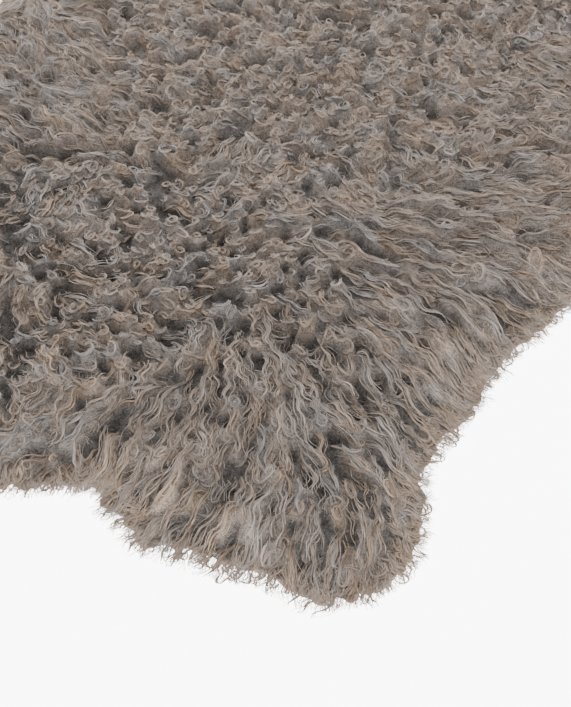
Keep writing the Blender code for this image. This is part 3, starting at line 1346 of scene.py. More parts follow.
@dataclass
class Underwool:
    """The dense foot of the fleece, which fills the space under the locks.

    Attributes:
        pelt: the field that it covers.
        lie: how the wool over it lies.
        relief: the ridges under the locks.
        cell: grid spacing.
        inset: how far its edge lies inside the wool body's rim, less than 0 for outside.
        ragged: how far that edge strays in and out.
        ragged_span: over what distance it strays.
        floor_gap: height of its flat underside.
        least: least thickness.
        share: height of its gaps as a share of the wool body's.
        lumps: depth of the lumps in the gaps.
        lump_span: their spacing.
        lump_waves: number of waves that they are made of.
        lump_edge: distance from the rim over which they come up.
        edge: distance from its edge over which the ridges come up.
        tall: height of a ridge over the gaps at which it has its full light.
        rim_stand: how high its edge counts as standing, from 0 for a gap to 1 for a ridge.
        rim_band: distance inside the rim at which that ends.
        curly_shade: how much darker it is under tight rings than under combed wool.
        filled: how much lighter the gaps are where the wool is dense.
        finish: of the wool.
    """

    pelt: PeltField
    lie: WoolLie
    relief: WoolRelief
    cell: float = 0.0030
    inset: float = -0.016
    ragged: float = 0.0045
    ragged_span: float = 0.016
    floor_gap: float = 0.0021
    least: float = 0.0015
    share: float = 0.74
    lumps: float = 0.0025
    lump_span: float = 0.016
    lump_waves: int = 40
    lump_edge: float = 0.030
    edge: float = 0.014
    # tall: height of a ridge over the gaps at which its painted shade is gone. rim_stand: how high its
    # edge counts as standing, from 0 for a gap to 1 for a ridge, so that painted shade spares it.
    tall: float = 0.0078
    rim_stand: float = 0.9
    rim_band: float = 0.004
    # curly_shade: painted shade: how much darker it is under tight rings than under combed wool.
    # filled: how much of the gaps' painted shade is lifted towards the neck.
    curly_shade: float = 0.34
    filled: float = 0.32
    finish: UnderwoolFinish = UnderwoolFinish()

    def build(self) -> bpy.types.Object:
        """Make the closed, ridged bed of wool that the locks lie on.

        Its height is that of the ridges or, between them, a share of the wool body's with
        smooth noise on it. Its points carry their light, their warmth and how high they stand, from
        which the finish paints shade into the gaps.

        Returns:
            The finished piece.
        """
        across, along = self.pelt.places()
        ragged = self.ragged * wave_noise(across, along, self.ragged_span, Waves.RAGGED)
        wander = self.lie.flared(across, along) + ragged
        grid = RimGrid(self.pelt, self.cell, self.inset, wander)
        x, y = grid.x, grid.y
        body = self.pelt.sample(self.pelt.height, x, y) - self.lie.sunk(x, y)
        depth = self.pelt.sample(self.pelt.inward, x, y)
        noise = wave_noise(x, y, self.lump_span, Waves.LUMPS, self.lump_waves)
        low = self.share * body + self.lumps * noise * smoothstep(depth, 0.0, self.lump_edge)
        within = depth + self.pelt.sample(wander, x, y)
        inner = smoothstep(within, self.inset, self.inset + self.edge)
        rise = np.maximum(self.relief.smoothed(self.relief.height, x, y) - low, 0.0) * inner
        top = np.maximum(low + rise, self.floor_gap + self.least)
        wool = grid.dome("underwool", top, self.floor_gap)
        light = self.relief.smoothed(self.relief.light, x, y)
        # Painted shade under tight rings, less towards the neck.
        light = light - self.curly_shade * (1.0 - self.lie.combed(x, y)) * self.lie.contrast(y)
        warmth = self.relief.smoothed(self.relief.warmth, x, y)
        # How high each point counts for the gaps' painted shade; the edge and the neckward wool count
        # higher.
        at_rim = self.rim_stand * (1.0 - smoothstep(depth, self.inset, self.rim_band))
        stand = np.clip(rise / self.tall + at_rim + self.filled * self.lie.dense(y), 0.0, 1.0)
        self.paint(wool, np.stack([light, warmth, stand], axis=1)[grid.dome_points])
        dress(wool, self.finish.material())
        return wool

    @staticmethod
    def paint(wool: bpy.types.Object, tone: np.ndarray) -> None:
        """Store three values at each point, as the attribute that the finish reads."""
        layer = wool.data.attributes.new(TONE_NAME, "FLOAT_VECTOR", "POINT")
        layer.data.foreach_set("vector", tone.astype(np.float32).ravel())


# --------------------------------------------------------------------------- fleece


@dataclass(frozen=True)
class LockStyle:
    """How a kind of lock curls. A pair is the value on the back and the one in combed wool.

    Attributes:
        name: of its pieces.
        spacing: between the roots of neighbouring locks.
        thinned: share of the locks that is missing where the wool is combed.
        inset: least distance of a root to the wool body's rim, less than 0 for outside it.
        outset: greatest distance of a root to that rim.
        length: along the lock.
        swing: how far its heading swings to each side, in radians.
        wavelength: of that swing.
        ring_share: share of the locks whose tip winds into a ring.
        ring_radius: of such a ring.
        stray: how far a heading strays from the lie of the wool, in radians.
        reach: least and most distance past the rim that a tip comes to, and not a pair as above.
        outward: share of its heading that is straight out over the rim.
        lift: how far a lock stands above or below the surface, as a deviation.
        bottom: least height of a strand.
        bedded: whether the underwool has a ridge under each lock.
    """

    name: str
    spacing: float
    thinned: float
    inset: float
    outset: float
    length: Pair
    swing: Pair
    wavelength: Pair
    ring_share: Pair
    ring_radius: Pair
    stray: Pair
    reach: Pair
    outward: float
    lift: float
    bottom: float
    bedded: bool = True


@dataclass(frozen=True)
class Strand:
    """A kind of ribbon in a lock.

    Attributes:
        name: of its pieces.
        copies: in each lock.
        steps: points along it.
        width: at its widest.
        uneven: how much its width comes and goes along it.
        cover: share of a tone's column that lies across it.
        spread: how far it runs beside the lock's middle, at most.
        loose: how much its numbers differ from the lock's.
        taper: share of its width that the tip loses.
        lighter: what is added to its light; on the fine, loose hairs this is painted highlight.
        tone_spread: how much the tone changes between copies.
    """

    name: str
    copies: int
    steps: int
    width: float = 0.0
    uneven: float = 0.0
    cover: float = 0.0
    spread: float = 0.0
    loose: float = 0.0
    taper: float = 0.0
    lighter: float = 0.0
    tone_spread: float = 0.0


@dataclass
class LockPlan:
    """The numbers of every lock, one array entry each. Angles are in radians.

    Attributes:
        x: place of the root across.
        y: place of the root along.
        way: heading of the whole lock.
        length: along the lock.
        swing: how far its heading swings to each side.
        wavelength: of that swing.
        phase: of that swing at the root.
        winding: how fast the ring turns, in radians a metre, 0 for a lock without one.
        ring_from: where the ring starts, as a share of the length.
        tilt: how far the plane of the curl leans.
        lift: how far it stands above or below the surface.
        pull_x: how far its tip leans across.
        pull_y: how far its tip leans along.
        reach: how far past the rim it may come.
        bottom: least height of its strands.
        gather: how far its strands run from its middle, as a share of what they could.
        light: from about 0 to 1.
        warmth: from about 0 to 1.
    """

    x: np.ndarray
    y: np.ndarray
    way: np.ndarray
    length: np.ndarray
    swing: np.ndarray
    wavelength: np.ndarray
    phase: np.ndarray
    winding: np.ndarray
    ring_from: np.ndarray
    tilt: np.ndarray
    lift: np.ndarray
    pull_x: np.ndarray
    pull_y: np.ndarray
    reach: np.ndarray
    bottom: np.ndarray
    gather: np.ndarray
    light: np.ndarray
    warmth: np.ndarray

    def repeated(self, copies: int) -> LockPlan:
        """The same plan with each lock's entries a number of times in a row, as columns."""
        columns = (np.repeat(getattr(self, part.name), copies)[:, None] for part in fields(self))
        return LockPlan(*columns)


BACK_AND_FLANK = LockStyle(
    name="locks",
    spacing=0.0109,
    thinned=0.12,
    inset=0.002,
    outset=1.0,
    length=(0.034, 0.052),
    swing=(0.60, 0.50),
    wavelength=(0.018, 0.027),
    ring_share=(0.95, 0.20),
    ring_radius=(0.0042, 0.0056),
    stray=(1.15, 0.26),
    reach=(0.019, 0.030),
    outward=0.0,
    lift=0.0024,
    bottom=0.0008,
)
RIM_CURLS = LockStyle(
    name="rim_curls",
    spacing=0.0084,
    thinned=0.0,
    inset=-0.014,
    outset=0.010,
    length=(0.026, 0.034),
    swing=(0.70, 0.60),
    wavelength=(0.015, 0.019),
    ring_share=(0.55, 0.45),
    ring_radius=(0.0035, 0.0048),
    stray=(0.55, 0.50),
    reach=(0.021, 0.031),
    outward=0.6,
    lift=0.0008,
    bottom=0.0008,
)
FRINGE = LockStyle(
    name="fringe",
    spacing=0.0029,
    thinned=0.0,
    inset=-0.023,
    outset=-0.009,
    length=(0.011, 0.015),
    swing=(0.45, 0.45),
    wavelength=(0.014, 0.018),
    ring_share=(0.0, 0.0),
    ring_radius=(0.004, 0.004),
    stray=(0.90, 0.90),
    reach=(0.019, 0.028),
    outward=0.95,
    lift=0.0,
    bottom=0.0026,
    bedded=False,
)
MIDDLE = Strand(name="middles", copies=1, steps=12)
WISP = Strand(
    name="wisps", copies=1, steps=12, width=0.0030, uneven=0.25, cover=0.96,
    loose=0.4, taper=0.85, lighter=-0.04, tone_spread=0.05,
)
HAIR = Strand(
    name="hairs", copies=3, steps=12, width=0.00066, uneven=0.20, cover=0.20,
    spread=0.0034, loose=0.9, taper=0.50, tone_spread=0.04,
)
FLYAWAY = Strand(
    name="flyaways", copies=1, steps=8, width=0.00045, cover=0.20,
    spread=0.0036, loose=2.4, taper=0.40, lighter=0.06, tone_spread=0.10,
)
RIM_WISP = Strand(
    name="wisps", copies=1, steps=12, width=0.0020, uneven=0.25, cover=0.96,
    loose=0.4, taper=0.85, lighter=0.04, tone_spread=0.05,
)
RIM_HAIR = Strand(
    name="hairs", copies=2, steps=12, width=0.00060, uneven=0.20, cover=0.20,
    spread=0.0034, loose=1.2, taper=0.50, lighter=0.10, tone_spread=0.08,
)
FUZZ = Strand(
    name="fuzz", copies=5, steps=7, width=0.00036, cover=0.20,
    spread=0.0050, loose=2.6, taper=0.40, lighter=0.16, tone_spread=0.12,
)
DOWN = Strand(
    name="down", copies=2, steps=4, width=0.00045, cover=0.20,
    spread=0.0012, loose=1.0, taper=0.70, lighter=0.14, tone_spread=0.10,
)
LAYERS = (
    (BACK_AND_FLANK, (WISP, HAIR, FLYAWAY)),
    (RIM_CURLS, (RIM_WISP, RIM_HAIR, FUZZ)),
    (FRINGE, (DOWN,)),
)


@dataclass(frozen=True)
class LockVariety:
    """How the locks of one style differ.

    A pair is the least and the greatest factor, where nothing else is said.

    Attributes:
        jitter: how far a root moves from its place, as a share of the spacing.
        combed: deviation of how combed a lock is.
        reach_span: over what distance the reach past the rim changes.
        reach: deviation of that reach.
        slack: a lock is at most its depth inside the rim plus this many times its reach long.
        length: of the lock.
        swing: of its heading.
        wavelength: of that swing.
        ring_radius: of its ring.
        ring_from: where its ring starts, as a share of the length.
        stray: of its heading, as a deviation.
        ruffle_span: over what distance tufts stand above and below the surface.
        tuft_jitter: how far a tuft's middle moves from its place, as a share of their spacing.
        tuft_inset: least distance of a tuft's middle to the rim.
        tuft_seed: what is added to the fleece's seed for their places.
        tuft_pull: how much a lock leans to its tuft.
    """

    jitter: float = 0.38
    combed: float = 0.12
    reach_span: float = 0.035
    reach: float = 0.0025
    slack: float = 1.9
    length: Pair = (0.75, 1.2)
    swing: Pair = (0.6, 1.25)
    wavelength: Pair = (0.75, 1.3)
    ring_radius: Pair = (0.75, 1.4)
    ring_from: Pair = (0.30, 0.52)
    stray: float = 0.55
    ruffle_span: float = 0.022
    tuft_jitter: float = 0.42
    tuft_inset: float = -0.03
    tuft_seed: int = 90
    tuft_pull: Pair = (0.5, 1.3)


@dataclass(frozen=True)
class StrandVariety:
    """How the strands of a lock differ from it, as deviations for a looseness of 1.

    Attributes:
        shorter: share of the length that a strand loses at most.
        phase: of its waves, in radians.
        swing: share of the swing.
        heading: of the whole strand, in radians.
        winding: share of the ring's winding.
        tilt: of its plane, in radians.
        root: of the place of its root.
        lift: of its height.
        bottom: how far the least height is raised at most, whatever the looseness.
        width: least and greatest factor of its width.
        gathered_width: width in a fully gathered lock, as a share of that in a loose one.
        pulses: least and greatest number of times that its width comes and goes.
        lean: of its upright to the side.
    """

    shorter: float = 0.16
    phase: float = 0.30
    swing: float = 0.14
    heading: float = 0.08
    winding: float = 0.12
    tilt: float = 0.12
    root: float = 0.0009
    lift: float = 0.0008
    bottom: float = 0.0022
    width: Pair = (0.75, 1.25)
    gathered_width: float = 0.62
    pulses: Pair = (1.5, 3.5)
    lean: float = 0.15


@dataclass(frozen=True)
class ToneRule:
    """How the light and the warmth of a lock follow from its place, its shape and chance.

    Its light holds the wool's own tone and painted light and shade from its shape and place.

    Attributes:
        light: of plain wool.
        light_patch: how much the patches on the pelt change it.
        light_span: size of these patches.
        light_rim: what is added at the rim.
        light_chance: deviation between locks.
        combed: what combed wool loses.
        ringed: painted light that a ring adds.
        ruffled: painted light that a raised tuft adds.
        raised: painted light that a raised lock adds, a metre.
        dense: painted light added towards the neck.
        sunk: painted shade that a hollow takes off, a metre.
        warmth: of plain wool.
        warm_patch: how much the patches change it.
        warm_span: size of these patches.
        warm_rim: what is added at the rim.
        warm_chance: deviation between locks.
        rim_band: distance to the rim over which it counts as the rim.
    """

    light: float = 0.42
    light_patch: float = 0.14
    light_span: float = 0.060
    light_rim: float = 0.08
    light_chance: float = 0.11
    combed: float = 0.10
    ringed: float = 0.17
    ruffled: float = 0.14
    raised: float = 40.0
    dense: float = 0.10
    sunk: float = 14.0
    warmth: float = 0.50
    warm_patch: float = 0.45
    warm_span: float = 0.034
    warm_rim: float = 0.26
    warm_chance: float = 0.18
    rim_band: float = 0.060


@dataclass
class Fleece:
    """All the curled locks, each a streaked ribbon or a few, with finer hairs round it.

    Attributes:
        pelt: the field that it grows on.
        lie: how the wool lies.
        seed: of every random number.
        crowding: below 1, the points stand closer together towards the tip.
        tuft_spacing: between the middles of the tufts that locks lean into.
        tuft_pull: how far a tip leans to the middle of its tuft.
        tilt: how far the plane of a curl leans, in radians.
        bed: height at which a strand leaves the underwool, as a share of the wool's.
        rise: length over which it comes up to the surface.
        ruffle: how far whole tufts stand above or below the surface.
        crown: how far a lock's middle stands above its sides.
        upward: share of a tilted curl's height that is kept.
        flat_band: the wool's heights between which strands begin to stand up.
        gathered: how far the strands of a ringed lock run from its middle, as a share of the others'.
        least_fit: a lock that would reach too far past the rim shrinks to this share at most.
        rounding: painted shade by which a lock's side strands are darker than its middle ones.
        ceiling: greatest height of a strand.
        ease: how far below the ceiling heights begin to be held back.
        lowest: least height of a ribbon's side.
        locks: how the locks differ.
        strands: how the strands differ.
        tone: how their tones come about.
        finish: of the wool.
        relief: the ridges that the locks raise on the underwool.
    """

    pelt: PeltField
    lie: WoolLie
    seed: int = 7
    crowding: float = 0.66
    tuft_spacing: float = 0.021
    tuft_pull: float = 0.20
    tilt: float = 0.8
    bed: float = 0.66
    rise: float = 0.014
    ruffle: float = 0.0036
    crown: float = 0.0016
    upward: float = 0.75
    flat_band: Pair = (0.004, 0.022)
    gathered: float = 0.34
    least_fit: float = 0.2
    rounding: float = 0.10
    ceiling: float = 0.0545
    ease: float = 0.008
    lowest: float = 0.0002
    locks: LockVariety = LockVariety()
    strands: StrandVariety = StrandVariety()
    tone: ToneRule = ToneRule()
    finish: WoolFinish = WoolFinish()
    relief: WoolRelief = field(init=False)

    def plan(self, style: LockStyle, rng: np.random.Generator) -> LockPlan:
        """Draw the numbers of every lock of a style.

        Each is a value between the style's pair, by how combed the wool is at the root, times
        or plus chance. Locks lean to the middle of their tuft and sink in the hollows. Rings and
        raised locks get painted light, and hollows painted shade.

        Args:
            style: how the locks curl.
            rng: random numbers.

        Returns:
            The plan.
        """
        vary = self.locks
        roots = self.pelt.scattered(style.spacing, vary.jitter, style.inset, rng)
        x, y = roots[:, 0], roots[:, 1]
        depth = self.pelt.sample(self.pelt.inward, x, y)
        missing = style.thinned * self.lie.combed(x, y)
        near = (depth < style.outset) & (rng.uniform(0.0, 1.0, len(x)) > missing)
        x, y, depth = x[near], y[near], depth[near]
        count = len(x)

        def chance(low: float, high: float) -> np.ndarray:
            """A random value for each lock."""
            return rng.uniform(low, high, count)

        combed = np.clip(self.lie.combed(x, y) + rng.normal(0.0, vary.combed, count), 0.0, 1.0)

        def between(pair: Pair) -> np.ndarray:
            """The value between a pair's two ends, by how combed each lock is."""
            return pair[0] + (pair[1] - pair[0]) * combed

        far = 0.5 + 0.5 * wave_noise(x, y, vary.reach_span, Waves.REACH)
        reach = style.reach[0] + (style.reach[1] - style.reach[0]) * far
        reach = reach + rng.normal(0.0, vary.reach, count) + self.lie.flared(x, y)
        room = np.maximum(depth, 0.0) + reach * vary.slack
        length = np.minimum(between(style.length) * chance(*vary.length), room)
        ringed = chance(0.0, 1.0) < between(style.ring_share)
        radius = between(style.ring_radius) * chance(*vary.ring_radius)
        winding = np.where(chance(0.0, 1.0) < 0.5, -1.0, 1.0) * ringed / radius
        ruffle = wave_noise(x, y, vary.ruffle_span, Waves.RUFFLE)
        stand = style.lift * rng.normal(0.0, 1.0, count)
        sunk = self.lie.sunk(x, y)
        pull_x, pull_y = self.tuft_lean(x, y, rng)
        light, warmth = self.tones(x, y, depth, rng)
        # Painted light on rings, raised tufts and raised locks, evened out towards the neck, where
        # more is added.
        painted_shape_light = self.tone.ringed * ringed + self.tone.ruffled * ruffle + self.tone.raised * stand
        light = light + painted_shape_light * self.lie.contrast(y) + self.tone.dense * self.lie.dense(y)
        stray = between(style.stray) * rng.normal(0.0, vary.stray, count)
        return LockPlan(
            x=x,
            y=y,
            way=self.lie.heading(x, y, style.outward) + stray,
            length=length,
            swing=between(style.swing) * chance(*vary.swing),
            wavelength=between(style.wavelength) * chance(*vary.wavelength),
            phase=chance(0.0, 2 * math.pi),
            winding=winding,
            ring_from=chance(*vary.ring_from),
            tilt=self.tilt * chance(-1.0, 1.0),
            lift=self.ruffle * ruffle + stand - sunk,
            pull_x=pull_x,
            pull_y=pull_y,
            reach=reach,
            bottom=np.full(count, style.bottom),
            gather=np.where(ringed, self.gathered, 1.0),
            # Painted shade in the hollows.
            light=light - self.tone.sunk * sunk,
            warmth=warmth,
        )

    def tuft_lean(
        self, x: np.ndarray, y: np.ndarray, rng: np.random.Generator
    ) -> tuple[np.ndarray, np.ndarray]:
        """How far each lock leans across to the middle of its tuft.

        Args:
            x: root positions across.
            y: root positions along.
            rng: random numbers.

        Returns:
            The lean across and along.
        """
        tuft_rng = np.random.default_rng(self.seed + self.locks.tuft_seed)
        middles = self.pelt.scattered(
            self.tuft_spacing, self.locks.tuft_jitter, self.locks.tuft_inset, tuft_rng
        )
        apart = (x[:, None] - middles[None, :, 0]) ** 2 + (y[:, None] - middles[None, :, 1]) ** 2
        nearest = middles[np.argmin(apart, axis=1)]
        pull = self.tuft_pull * rng.uniform(*self.locks.tuft_pull, len(x))
        return (nearest[:, 0] - x) * pull, (nearest[:, 1] - y) * pull

    def tones(
        self, x: np.ndarray, y: np.ndarray, depth: np.ndarray, rng: np.random.Generator
    ) -> tuple[np.ndarray, np.ndarray]:
        """Light and warmth of each lock, from patches on the pelt and chance.

        Args:
            x: root positions across.
            y: root positions along.
            depth: distance to the rim.
            rng: random numbers.

        Returns:
            Two shares from about 0 to 1 for each lock.
        """
        rule = self.tone
        rim = 1.0 - smoothstep(depth, 0.0, rule.rim_band)
        light = rule.light + rule.light_patch * wave_noise(x, y, rule.light_span, Waves.LIGHT)
        light = light + rule.light_rim * rim - rule.combed * self.lie.combed(x, y)
        light = light + rng.normal(0.0, rule.light_chance, len(x))
        warmth = rule.warmth + rule.warm_patch * wave_noise(x, y, rule.warm_span, Waves.WARMTH)
        warmth = warmth + rule.warm_rim * rim + rng.normal(0.0, rule.warm_chance, len(x))
        return light, warmth

    def shares(self, strand: Strand) -> np.ndarray:
        """The share of the length at each point of a strand, in one row."""
        return np.linspace(0.0, 1.0, strand.steps)[None, :] ** self.crowding

    @staticmethod
    def belly(share: np.ndarray) -> np.ndarray:
        """How far a strand runs beside the middle: 1/4 at the root, 1 at a third, 0.36 at the tip."""
        return 0.25 + 0.75 * smoothstep(share, 0.0, 0.35) * (1.0 - 0.85 * smoothstep(share, 0.4, 1.0))

    def trace(
        self, plan: LockPlan, strand: Strand, beside: np.ndarray, rng: np.random.Generator
    ) -> np.ndarray:
        """Work out the paths of all ribbons of one kind.

        The heading at length s is the way the lock lies, plus swing * sin(2 pi s / wavelength +
        phase), plus, past the point where the ring starts, s / ring radius. The path is the sum
        of unit steps along it, in a plane that leans by the tilt round the way of the lock. A
        copy has its lock's numbers with small changes, and runs beside its middle, widest a
        third of the way along and close to it at the tip.

        Args:
            plan: one entry a ribbon, as columns.
            strand: the kind of ribbon.
            beside: where each ribbon runs in its lock, -1 for one side to 1 for the other.
            rng: random numbers.

        Returns:
            Points (ribbon, step, 3).
        """
        shape = plan.x.shape
        loose = strand.loose * plan.gather
        vary = self.strands

        def varied(deviation: float) -> np.ndarray:
            """Chance round 0 for each ribbon."""
            return rng.normal(0.0, deviation * loose, shape)

        share = self.shares(strand)
        length = plan.length * (1.0 - vary.shorter * loose * rng.uniform(0.0, 1.0, shape))
        s = share * length
        wave = np.sin(2 * math.pi * s / plan.wavelength + plan.phase + varied(vary.phase))
        heading = plan.swing * (1.0 + varied(vary.swing)) * wave + varied(vary.heading)
        past = np.maximum(s - plan.ring_from * length, 0.0)
        heading = heading + past * plan.winding * (1.0 + varied(vary.winding))
        step = np.diff(s, axis=1, prepend=0.0)
        belly = self.belly(share)
        offset = strand.spread * plan.gather * beside * belly
        ahead = np.cumsum(np.cos(heading) * step, axis=1) - offset * np.sin(heading)
        aside = np.cumsum(np.sin(heading) * step, axis=1) + offset * np.cos(heading)
        tilt = plan.tilt + varied(vary.tilt)
        level, upward = aside * np.cos(tilt), aside * np.sin(tilt)
        upward = upward + self.crown * (1.0 - beside**2) * belly * np.sign(strand.spread)
        lean = smoothstep(share, 0.1, 1.0)
        go_x, go_y = np.cos(plan.way), np.sin(plan.way)
        x = plan.x + varied(vary.root) + ahead * go_x - level * go_y + plan.pull_x * lean
        y = plan.y + varied(vary.root) + ahead * go_y + level * go_x + plan.pull_y * lean
        x, y = self.held_in(plan, x, y)
        surface = self.pelt.sample(self.pelt.height, x, y)
        stand = self.bed + (1.0 - self.bed) * smoothstep(s, 0.0, self.rise)
        clear = smoothstep(surface, *self.flat_band)
        z = surface * stand + (upward * self.upward + plan.lift + varied(vary.lift)) * clear
        z = np.maximum(z, plan.bottom + vary.bottom * rng.uniform(0.0, 1.0, shape))
        return np.stack([x, y, self.under_ceiling(z)], axis=2)

    def held_in(
        self, plan: LockPlan, x: np.ndarray, y: np.ndarray
    ) -> tuple[np.ndarray, np.ndarray]:
        """Shrink the ribbons towards their roots where they come further past the rim than they may.

        A ribbon keeps the share (depth + reach) / (depth + greatest distance past the rim).

        Args:
            plan: one entry a ribbon, as columns.
            x: positions across (ribbon, step).
            y: positions along (ribbon, step).

        Returns:
            The new positions across and along.
        """
        out = np.max(-self.pelt.sample(self.pelt.inward, x, y), axis=1, keepdims=True)
        depth = self.pelt.sample(self.pelt.inward, plan.x, plan.y)
        fit = np.clip((depth + plan.reach) / np.maximum(depth + out, 1e-4), self.least_fit, 1.0)
        return plan.x + (x - plan.x) * fit, plan.y + (y - plan.y) * fit

    def under_ceiling(self, z: np.ndarray) -> np.ndarray:
        """Hold heights under the ceiling.

        Past the ease below the ceiling, the excess e becomes ease * tanh(e / ease).

        Args:
            z: heights.

        Returns:
            The new heights.
        """
        level = self.ceiling - self.ease
        excess = np.maximum(z - level, 0.0)
        return np.minimum(z, level) + self.ease * np.tanh(excess / self.ease)

    def ribbons(
        self, name: str, plan: LockPlan, strand: Strand, rng: np.random.Generator
    ) -> list[bpy.types.Object]:
        """Turn the paths into ribbon meshes, each under the limit on triangles.

        A ribbon's sides are its path moved by half the width to each side, at right angles to
        its run and to an upright that leans at random.

        Args:
            name: start of the pieces' names.
            plan: the locks.
            strand: the kind of ribbon.
            rng: random numbers.

        Returns:
            The new objects.
        """
        even = (2.0 * np.arange(strand.copies) + 1.0) / strand.copies - 1.0
        beside = np.tile(even, len(plan.x))[:, None]
        plan = plan.repeated(strand.copies)
        count = len(plan.x)
        beside = np.clip(beside + rng.uniform(-1.0, 1.0, (count, 1)) / strand.copies, -1.0, 1.0)
        points = self.trace(plan, strand, beside, rng)
        width = self.widths(plan, strand, rng)
        run = np.gradient(points, axis=1)
        lean = rng.normal(0.0, self.strands.lean, (count, 1, 2))
        upright = np.concatenate([lean, np.ones((count, 1, 1))], axis=2)
        side = self.unit(np.cross(run, upright))
        offset = side * (0.5 * width)[:, :, None]
        verts = np.stack([points - offset, points + offset], axis=2)
        verts[..., 2] = np.maximum(verts[..., 2], self.lowest)
        across = self.tone_places(plan, strand, beside[:, 0], rng)
        batch = MOST_TRIANGLES // (2 * (strand.steps - 1))
        made = []
        for number, first in enumerate(range(0, count, batch)):
            part = slice(first, first + batch)
            made.append(self.ribbon_batch(f"{name}_{number + 1}", verts[part], across[part]))
        return made

    def widths(self, plan: LockPlan, strand: Strand, rng: np.random.Generator) -> np.ndarray:
        """How wide the ribbons are along their length.

        The width at share t is half at the root, whole from 0.3 on, and loses taper * t^2.5 to
        the tip. A sine wave lets it come and go, and gathered locks have narrower strands.

        Args:
            plan: one entry a ribbon, as columns.
            strand: the kind of ribbon.
            rng: random numbers.

        Returns:
            Widths (ribbon, step).
        """
        vary = self.strands
        count = len(plan.x)
        share = self.shares(strand)
        opened = 0.5 + 0.5 * smoothstep(share, 0.0, 0.3)
        width = strand.width * opened * (1.0 - strand.taper * share**2.5)
        turns = share * rng.uniform(*vary.pulses, (count, 1))
        pulse = np.sin(2 * math.pi * (turns + rng.uniform(0.0, 1.0, (count, 1))))
        narrow = vary.gathered_width + (1.0 - vary.gathered_width) * plan.gather
        width = width * narrow * rng.uniform(*vary.width, (count, 1))
        return width * (1.0 + strand.uneven * pulse)

    def tone_places(
        self, plan: LockPlan, strand: Strand, beside: np.ndarray, rng: np.random.Generator
    ) -> np.ndarray:
        """Where on the tone map each ribbon's two sides lie, in columns.

        The column is hue * levels + level of light, with painted shade on the strands at a lock's
        sides. The sides lie at its middle, less and plus half the share that the strand covers.

        Args:
            plan: one entry a ribbon, as columns.
            strand: the kind of ribbon.
            beside: where each ribbon runs in its lock.
            rng: random numbers.

        Returns:
            Places (ribbon, side).
        """
        count = len(beside)
        # Fine, loose hairs get painted highlight from their kind's lighter.
        light = plan.light[:, 0] + strand.lighter + strand.tone_spread * rng.normal(0.0, 1.0, count)
        # Painted shade: strands at the sides of a lock are darker than those in its middle.
        light = light + self.rounding * (0.33 - beside**2) * np.sign(strand.spread)
        warmth = plan.warmth[:, 0] + 0.5 * strand.tone_spread * rng.normal(0.0, 1.0, count)
        level = np.clip(np.round(light * (TONE_LEVELS - 1)), 0, TONE_LEVELS - 1)
        hue = np.clip(np.round(warmth * (TONE_HUES - 1)), 0, TONE_HUES - 1)
        column = hue * TONE_LEVELS + level
        return column[:, None] + 0.5 + 0.5 * strand.cover * np.array([-1.0, 1.0])

    @staticmethod
    def unit(vectors: np.ndarray) -> np.ndarray:
        """The vectors, each divided by its length."""
        return vectors / np.maximum(np.linalg.norm(vectors, axis=-1, keepdims=True), 1e-9)

    @staticmethod
    def ribbon_batch(name: str, verts: np.ndarray, across: np.ndarray) -> bpy.types.Object:
        """One mesh of ribbons, with a map that holds the tone and the share of the length.

        Args:
            name: of the piece.
            verts: (ribbon, step, side, 3), with the sides next to each other.
            across: place on the tone map of each ribbon's sides, in columns.

        Returns:
            The new object.
        """
        number = np.arange(verts[..., 0].size).reshape(verts.shape[:3])
        corners = (number[:, :-1, :-1], number[:, :-1, 1:], number[:, 1:, 1:], number[:, 1:, :-1])
        quads = np.stack(corners, axis=3).reshape(-1, 4)
        obj = mesh_object(name, verts.reshape(-1, 3), quads)
        u = np.broadcast_to(across[:, None, :] / TONE_COLUMNS, number.shape).ravel()
        along = np.linspace(0.0, 1.0, verts.shape[1])[None, :, None]
        v = np.broadcast_to(along, number.shape).ravel()
        layer = obj.data.uv_layers.new(name=STRAND_MAP)
        places = np.stack([u[quads], v[quads]], axis=2)
        layer.data.foreach_set("uv", places.astype(np.float32).ravel())
        return obj

    def build(self) -> list[bpy.types.Object]:
        """Grow the locks, dress them and note the ridges that they raise on the underwool.

        Returns:
            The finished pieces.
        """
        rng = np.random.default_rng(self.seed)
        material = self.finish.material()
        self.relief = WoolRelief(self.pelt)
        made = []
        for style, strands in LAYERS:
            plan = self.plan(style, rng)
            if style.bedded:
                column = plan.repeated(1)
                middles = self.trace(column, MIDDLE, np.zeros_like(column.x), rng)
                light = np.clip(plan.light, 0.05, 1.0)
                self.relief.stamp(middles, light, np.clip(plan.warmth, 0.0, 1.0))
            for strand in strands:
                made += self.ribbons(f"{style.name}_{strand.name}", plan, strand, rng)
        for piece in made:
            dress(piece, material)
        return made


# --------------------------------------------------------------------------- studio


@dataclass(frozen=True)
class SoftLight:
    """A square soft light that faces the middle of the pelt.

    Attributes:
        name: of the light.
        place: its position.
        size: length of its side.
        power: in watts.
        colour: of the light.
    """

    name: str
    place: Triple
    size: float
    power: float
    colour: Triple

    def hang(self) -> bpy.types.Object:
        """Put the light up.

        Returns:
            The lamp.
        """
        data = bpy.data.lights.new(self.name, "AREA")
        data.size = self.size
        data.energy = self.power
        data.color = self.colour
        lamp = bpy.data.objects.new(self.name, data)
        lamp.location = self.place
        lamp.rotation_mode = "QUATERNION"
        lamp.rotation_quaternion = (-Vector(self.place)).to_track_quat("-Z", "Y")
        bpy.context.scene.collection.objects.link(lamp)
        return lamp


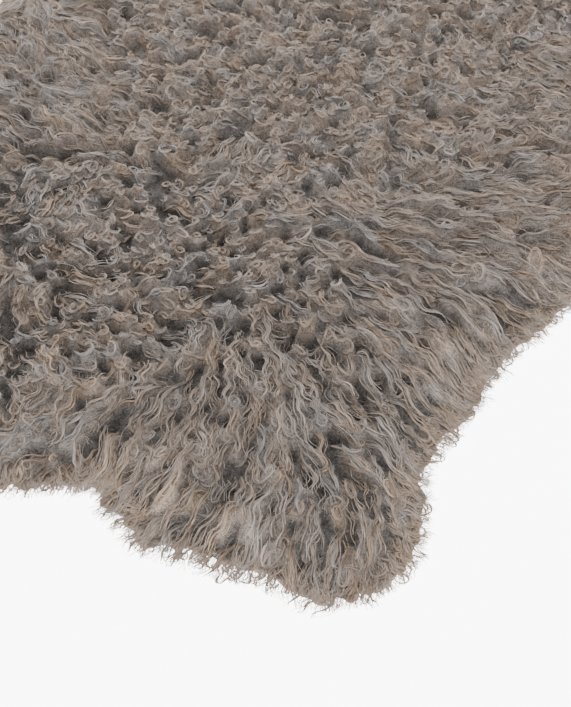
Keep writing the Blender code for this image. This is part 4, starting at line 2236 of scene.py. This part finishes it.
@dataclass
class Studio:
    """Floor, soft light and camera.

    Attributes:
        aim: the point on the floor that the camera looks at, over the right hind leg.
        azimuth: the camera's turn, in degrees, 0 looking along +Y.
        elevation: its height above the horizon, in degrees.
        distance: from the camera to that point.
        lens: focal length in millimetres.
        sensor: the picture's long side, in millimetres.
        floor_size: length of the floor's side.
        floor_finish: of the floor.
        lights: the soft lights.
        air_colour: of the light from all round.
        air_strength: of the light from all round.
    """

    aim: Triple = (0.163, -0.2955, 0.0)
    azimuth: float = 30.0
    elevation: float = 45.0
    distance: float = 1.42
    lens: float = 85.0
    sensor: float = 36.0
    floor_size: float = 12.0
    floor_finish: FloorFinish = FloorFinish()
    lights: tuple[SoftLight, ...] = (
        SoftLight("key", (-0.8, 1.1, 1.8), 1.3, 47.0, (1.0, 0.985, 0.965)),
        SoftLight("fill", (1.9, -1.3, 2.0), 2.2, 11.0, (0.97, 0.985, 1.0)),
    )
    air_colour: Colour = (0.97, 0.985, 1.0, 1.0)
    air_strength: float = 0.95

    def floor(self) -> bpy.types.Object:
        """Lay the floor.

        Returns:
            The floor.
        """
        half = self.floor_size / 2
        corners = [[-half, -half, 0.0], [half, -half, 0.0], [half, half, 0.0], [-half, half, 0.0]]
        ground = mesh_object("floor", np.array(corners), np.array([[0, 1, 2, 3]]), smooth=False)
        ground.data.materials.append(self.floor_finish.material())
        return ground

    def camera(self) -> bpy.types.Object:
        """Stand the camera off from its aim along the angle of view.

        Returns:
            The camera.
        """
        turn, rise = math.radians(self.azimuth), math.radians(self.elevation)
        level = math.cos(rise)
        back = Vector((math.sin(turn) * level, -math.cos(turn) * level, math.sin(rise)))
        data = bpy.data.cameras.new("camera")
        data.lens = self.lens
        data.sensor_width = self.sensor
        camera = bpy.data.objects.new("camera", data)
        camera.location = Vector(self.aim) + back * self.distance
        camera.rotation_mode = "QUATERNION"
        camera.rotation_quaternion = (-back).to_track_quat("-Z", "Y")
        bpy.context.scene.collection.objects.link(camera)
        bpy.context.scene.camera = camera
        return camera

    def build(self) -> None:
        """Set up the whole studio."""
        self.floor()
        self.camera()
        for light in self.lights:
            light.hang()
        world = bpy.data.worlds.new("studio_air")
        world.use_nodes = True
        air = world.node_tree.nodes["Background"]
        air.inputs["Color"].default_value = self.air_colour
        air.inputs["Strength"].default_value = self.air_strength
        bpy.context.scene.world = world


def clear_startup() -> None:
    """Remove the objects of Blender's startup file."""
    for obj in list(bpy.data.objects):
        bpy.data.objects.remove(obj, do_unlink=True)


def main() -> None:
    """Build every piece in order and report it."""
    logging.basicConfig(level=logging.INFO, format="%(message)s")
    clear_startup()
    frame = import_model()
    pelt = PeltField()
    pelt.read(frame["nodes"][NODE])
    lie = WoolLie(pelt)
    hide = Hide(pelt).build()
    fleece = Fleece(pelt, lie)
    strands = fleece.build()
    underwool = Underwool(pelt, lie, fleece.relief).build()
    for piece in (hide, *strands, underwool):
        LOG.info("%s: %d faces", piece.name, len(piece.data.polygons))
    Studio().build()


if __name__ == "__main__":
    main()
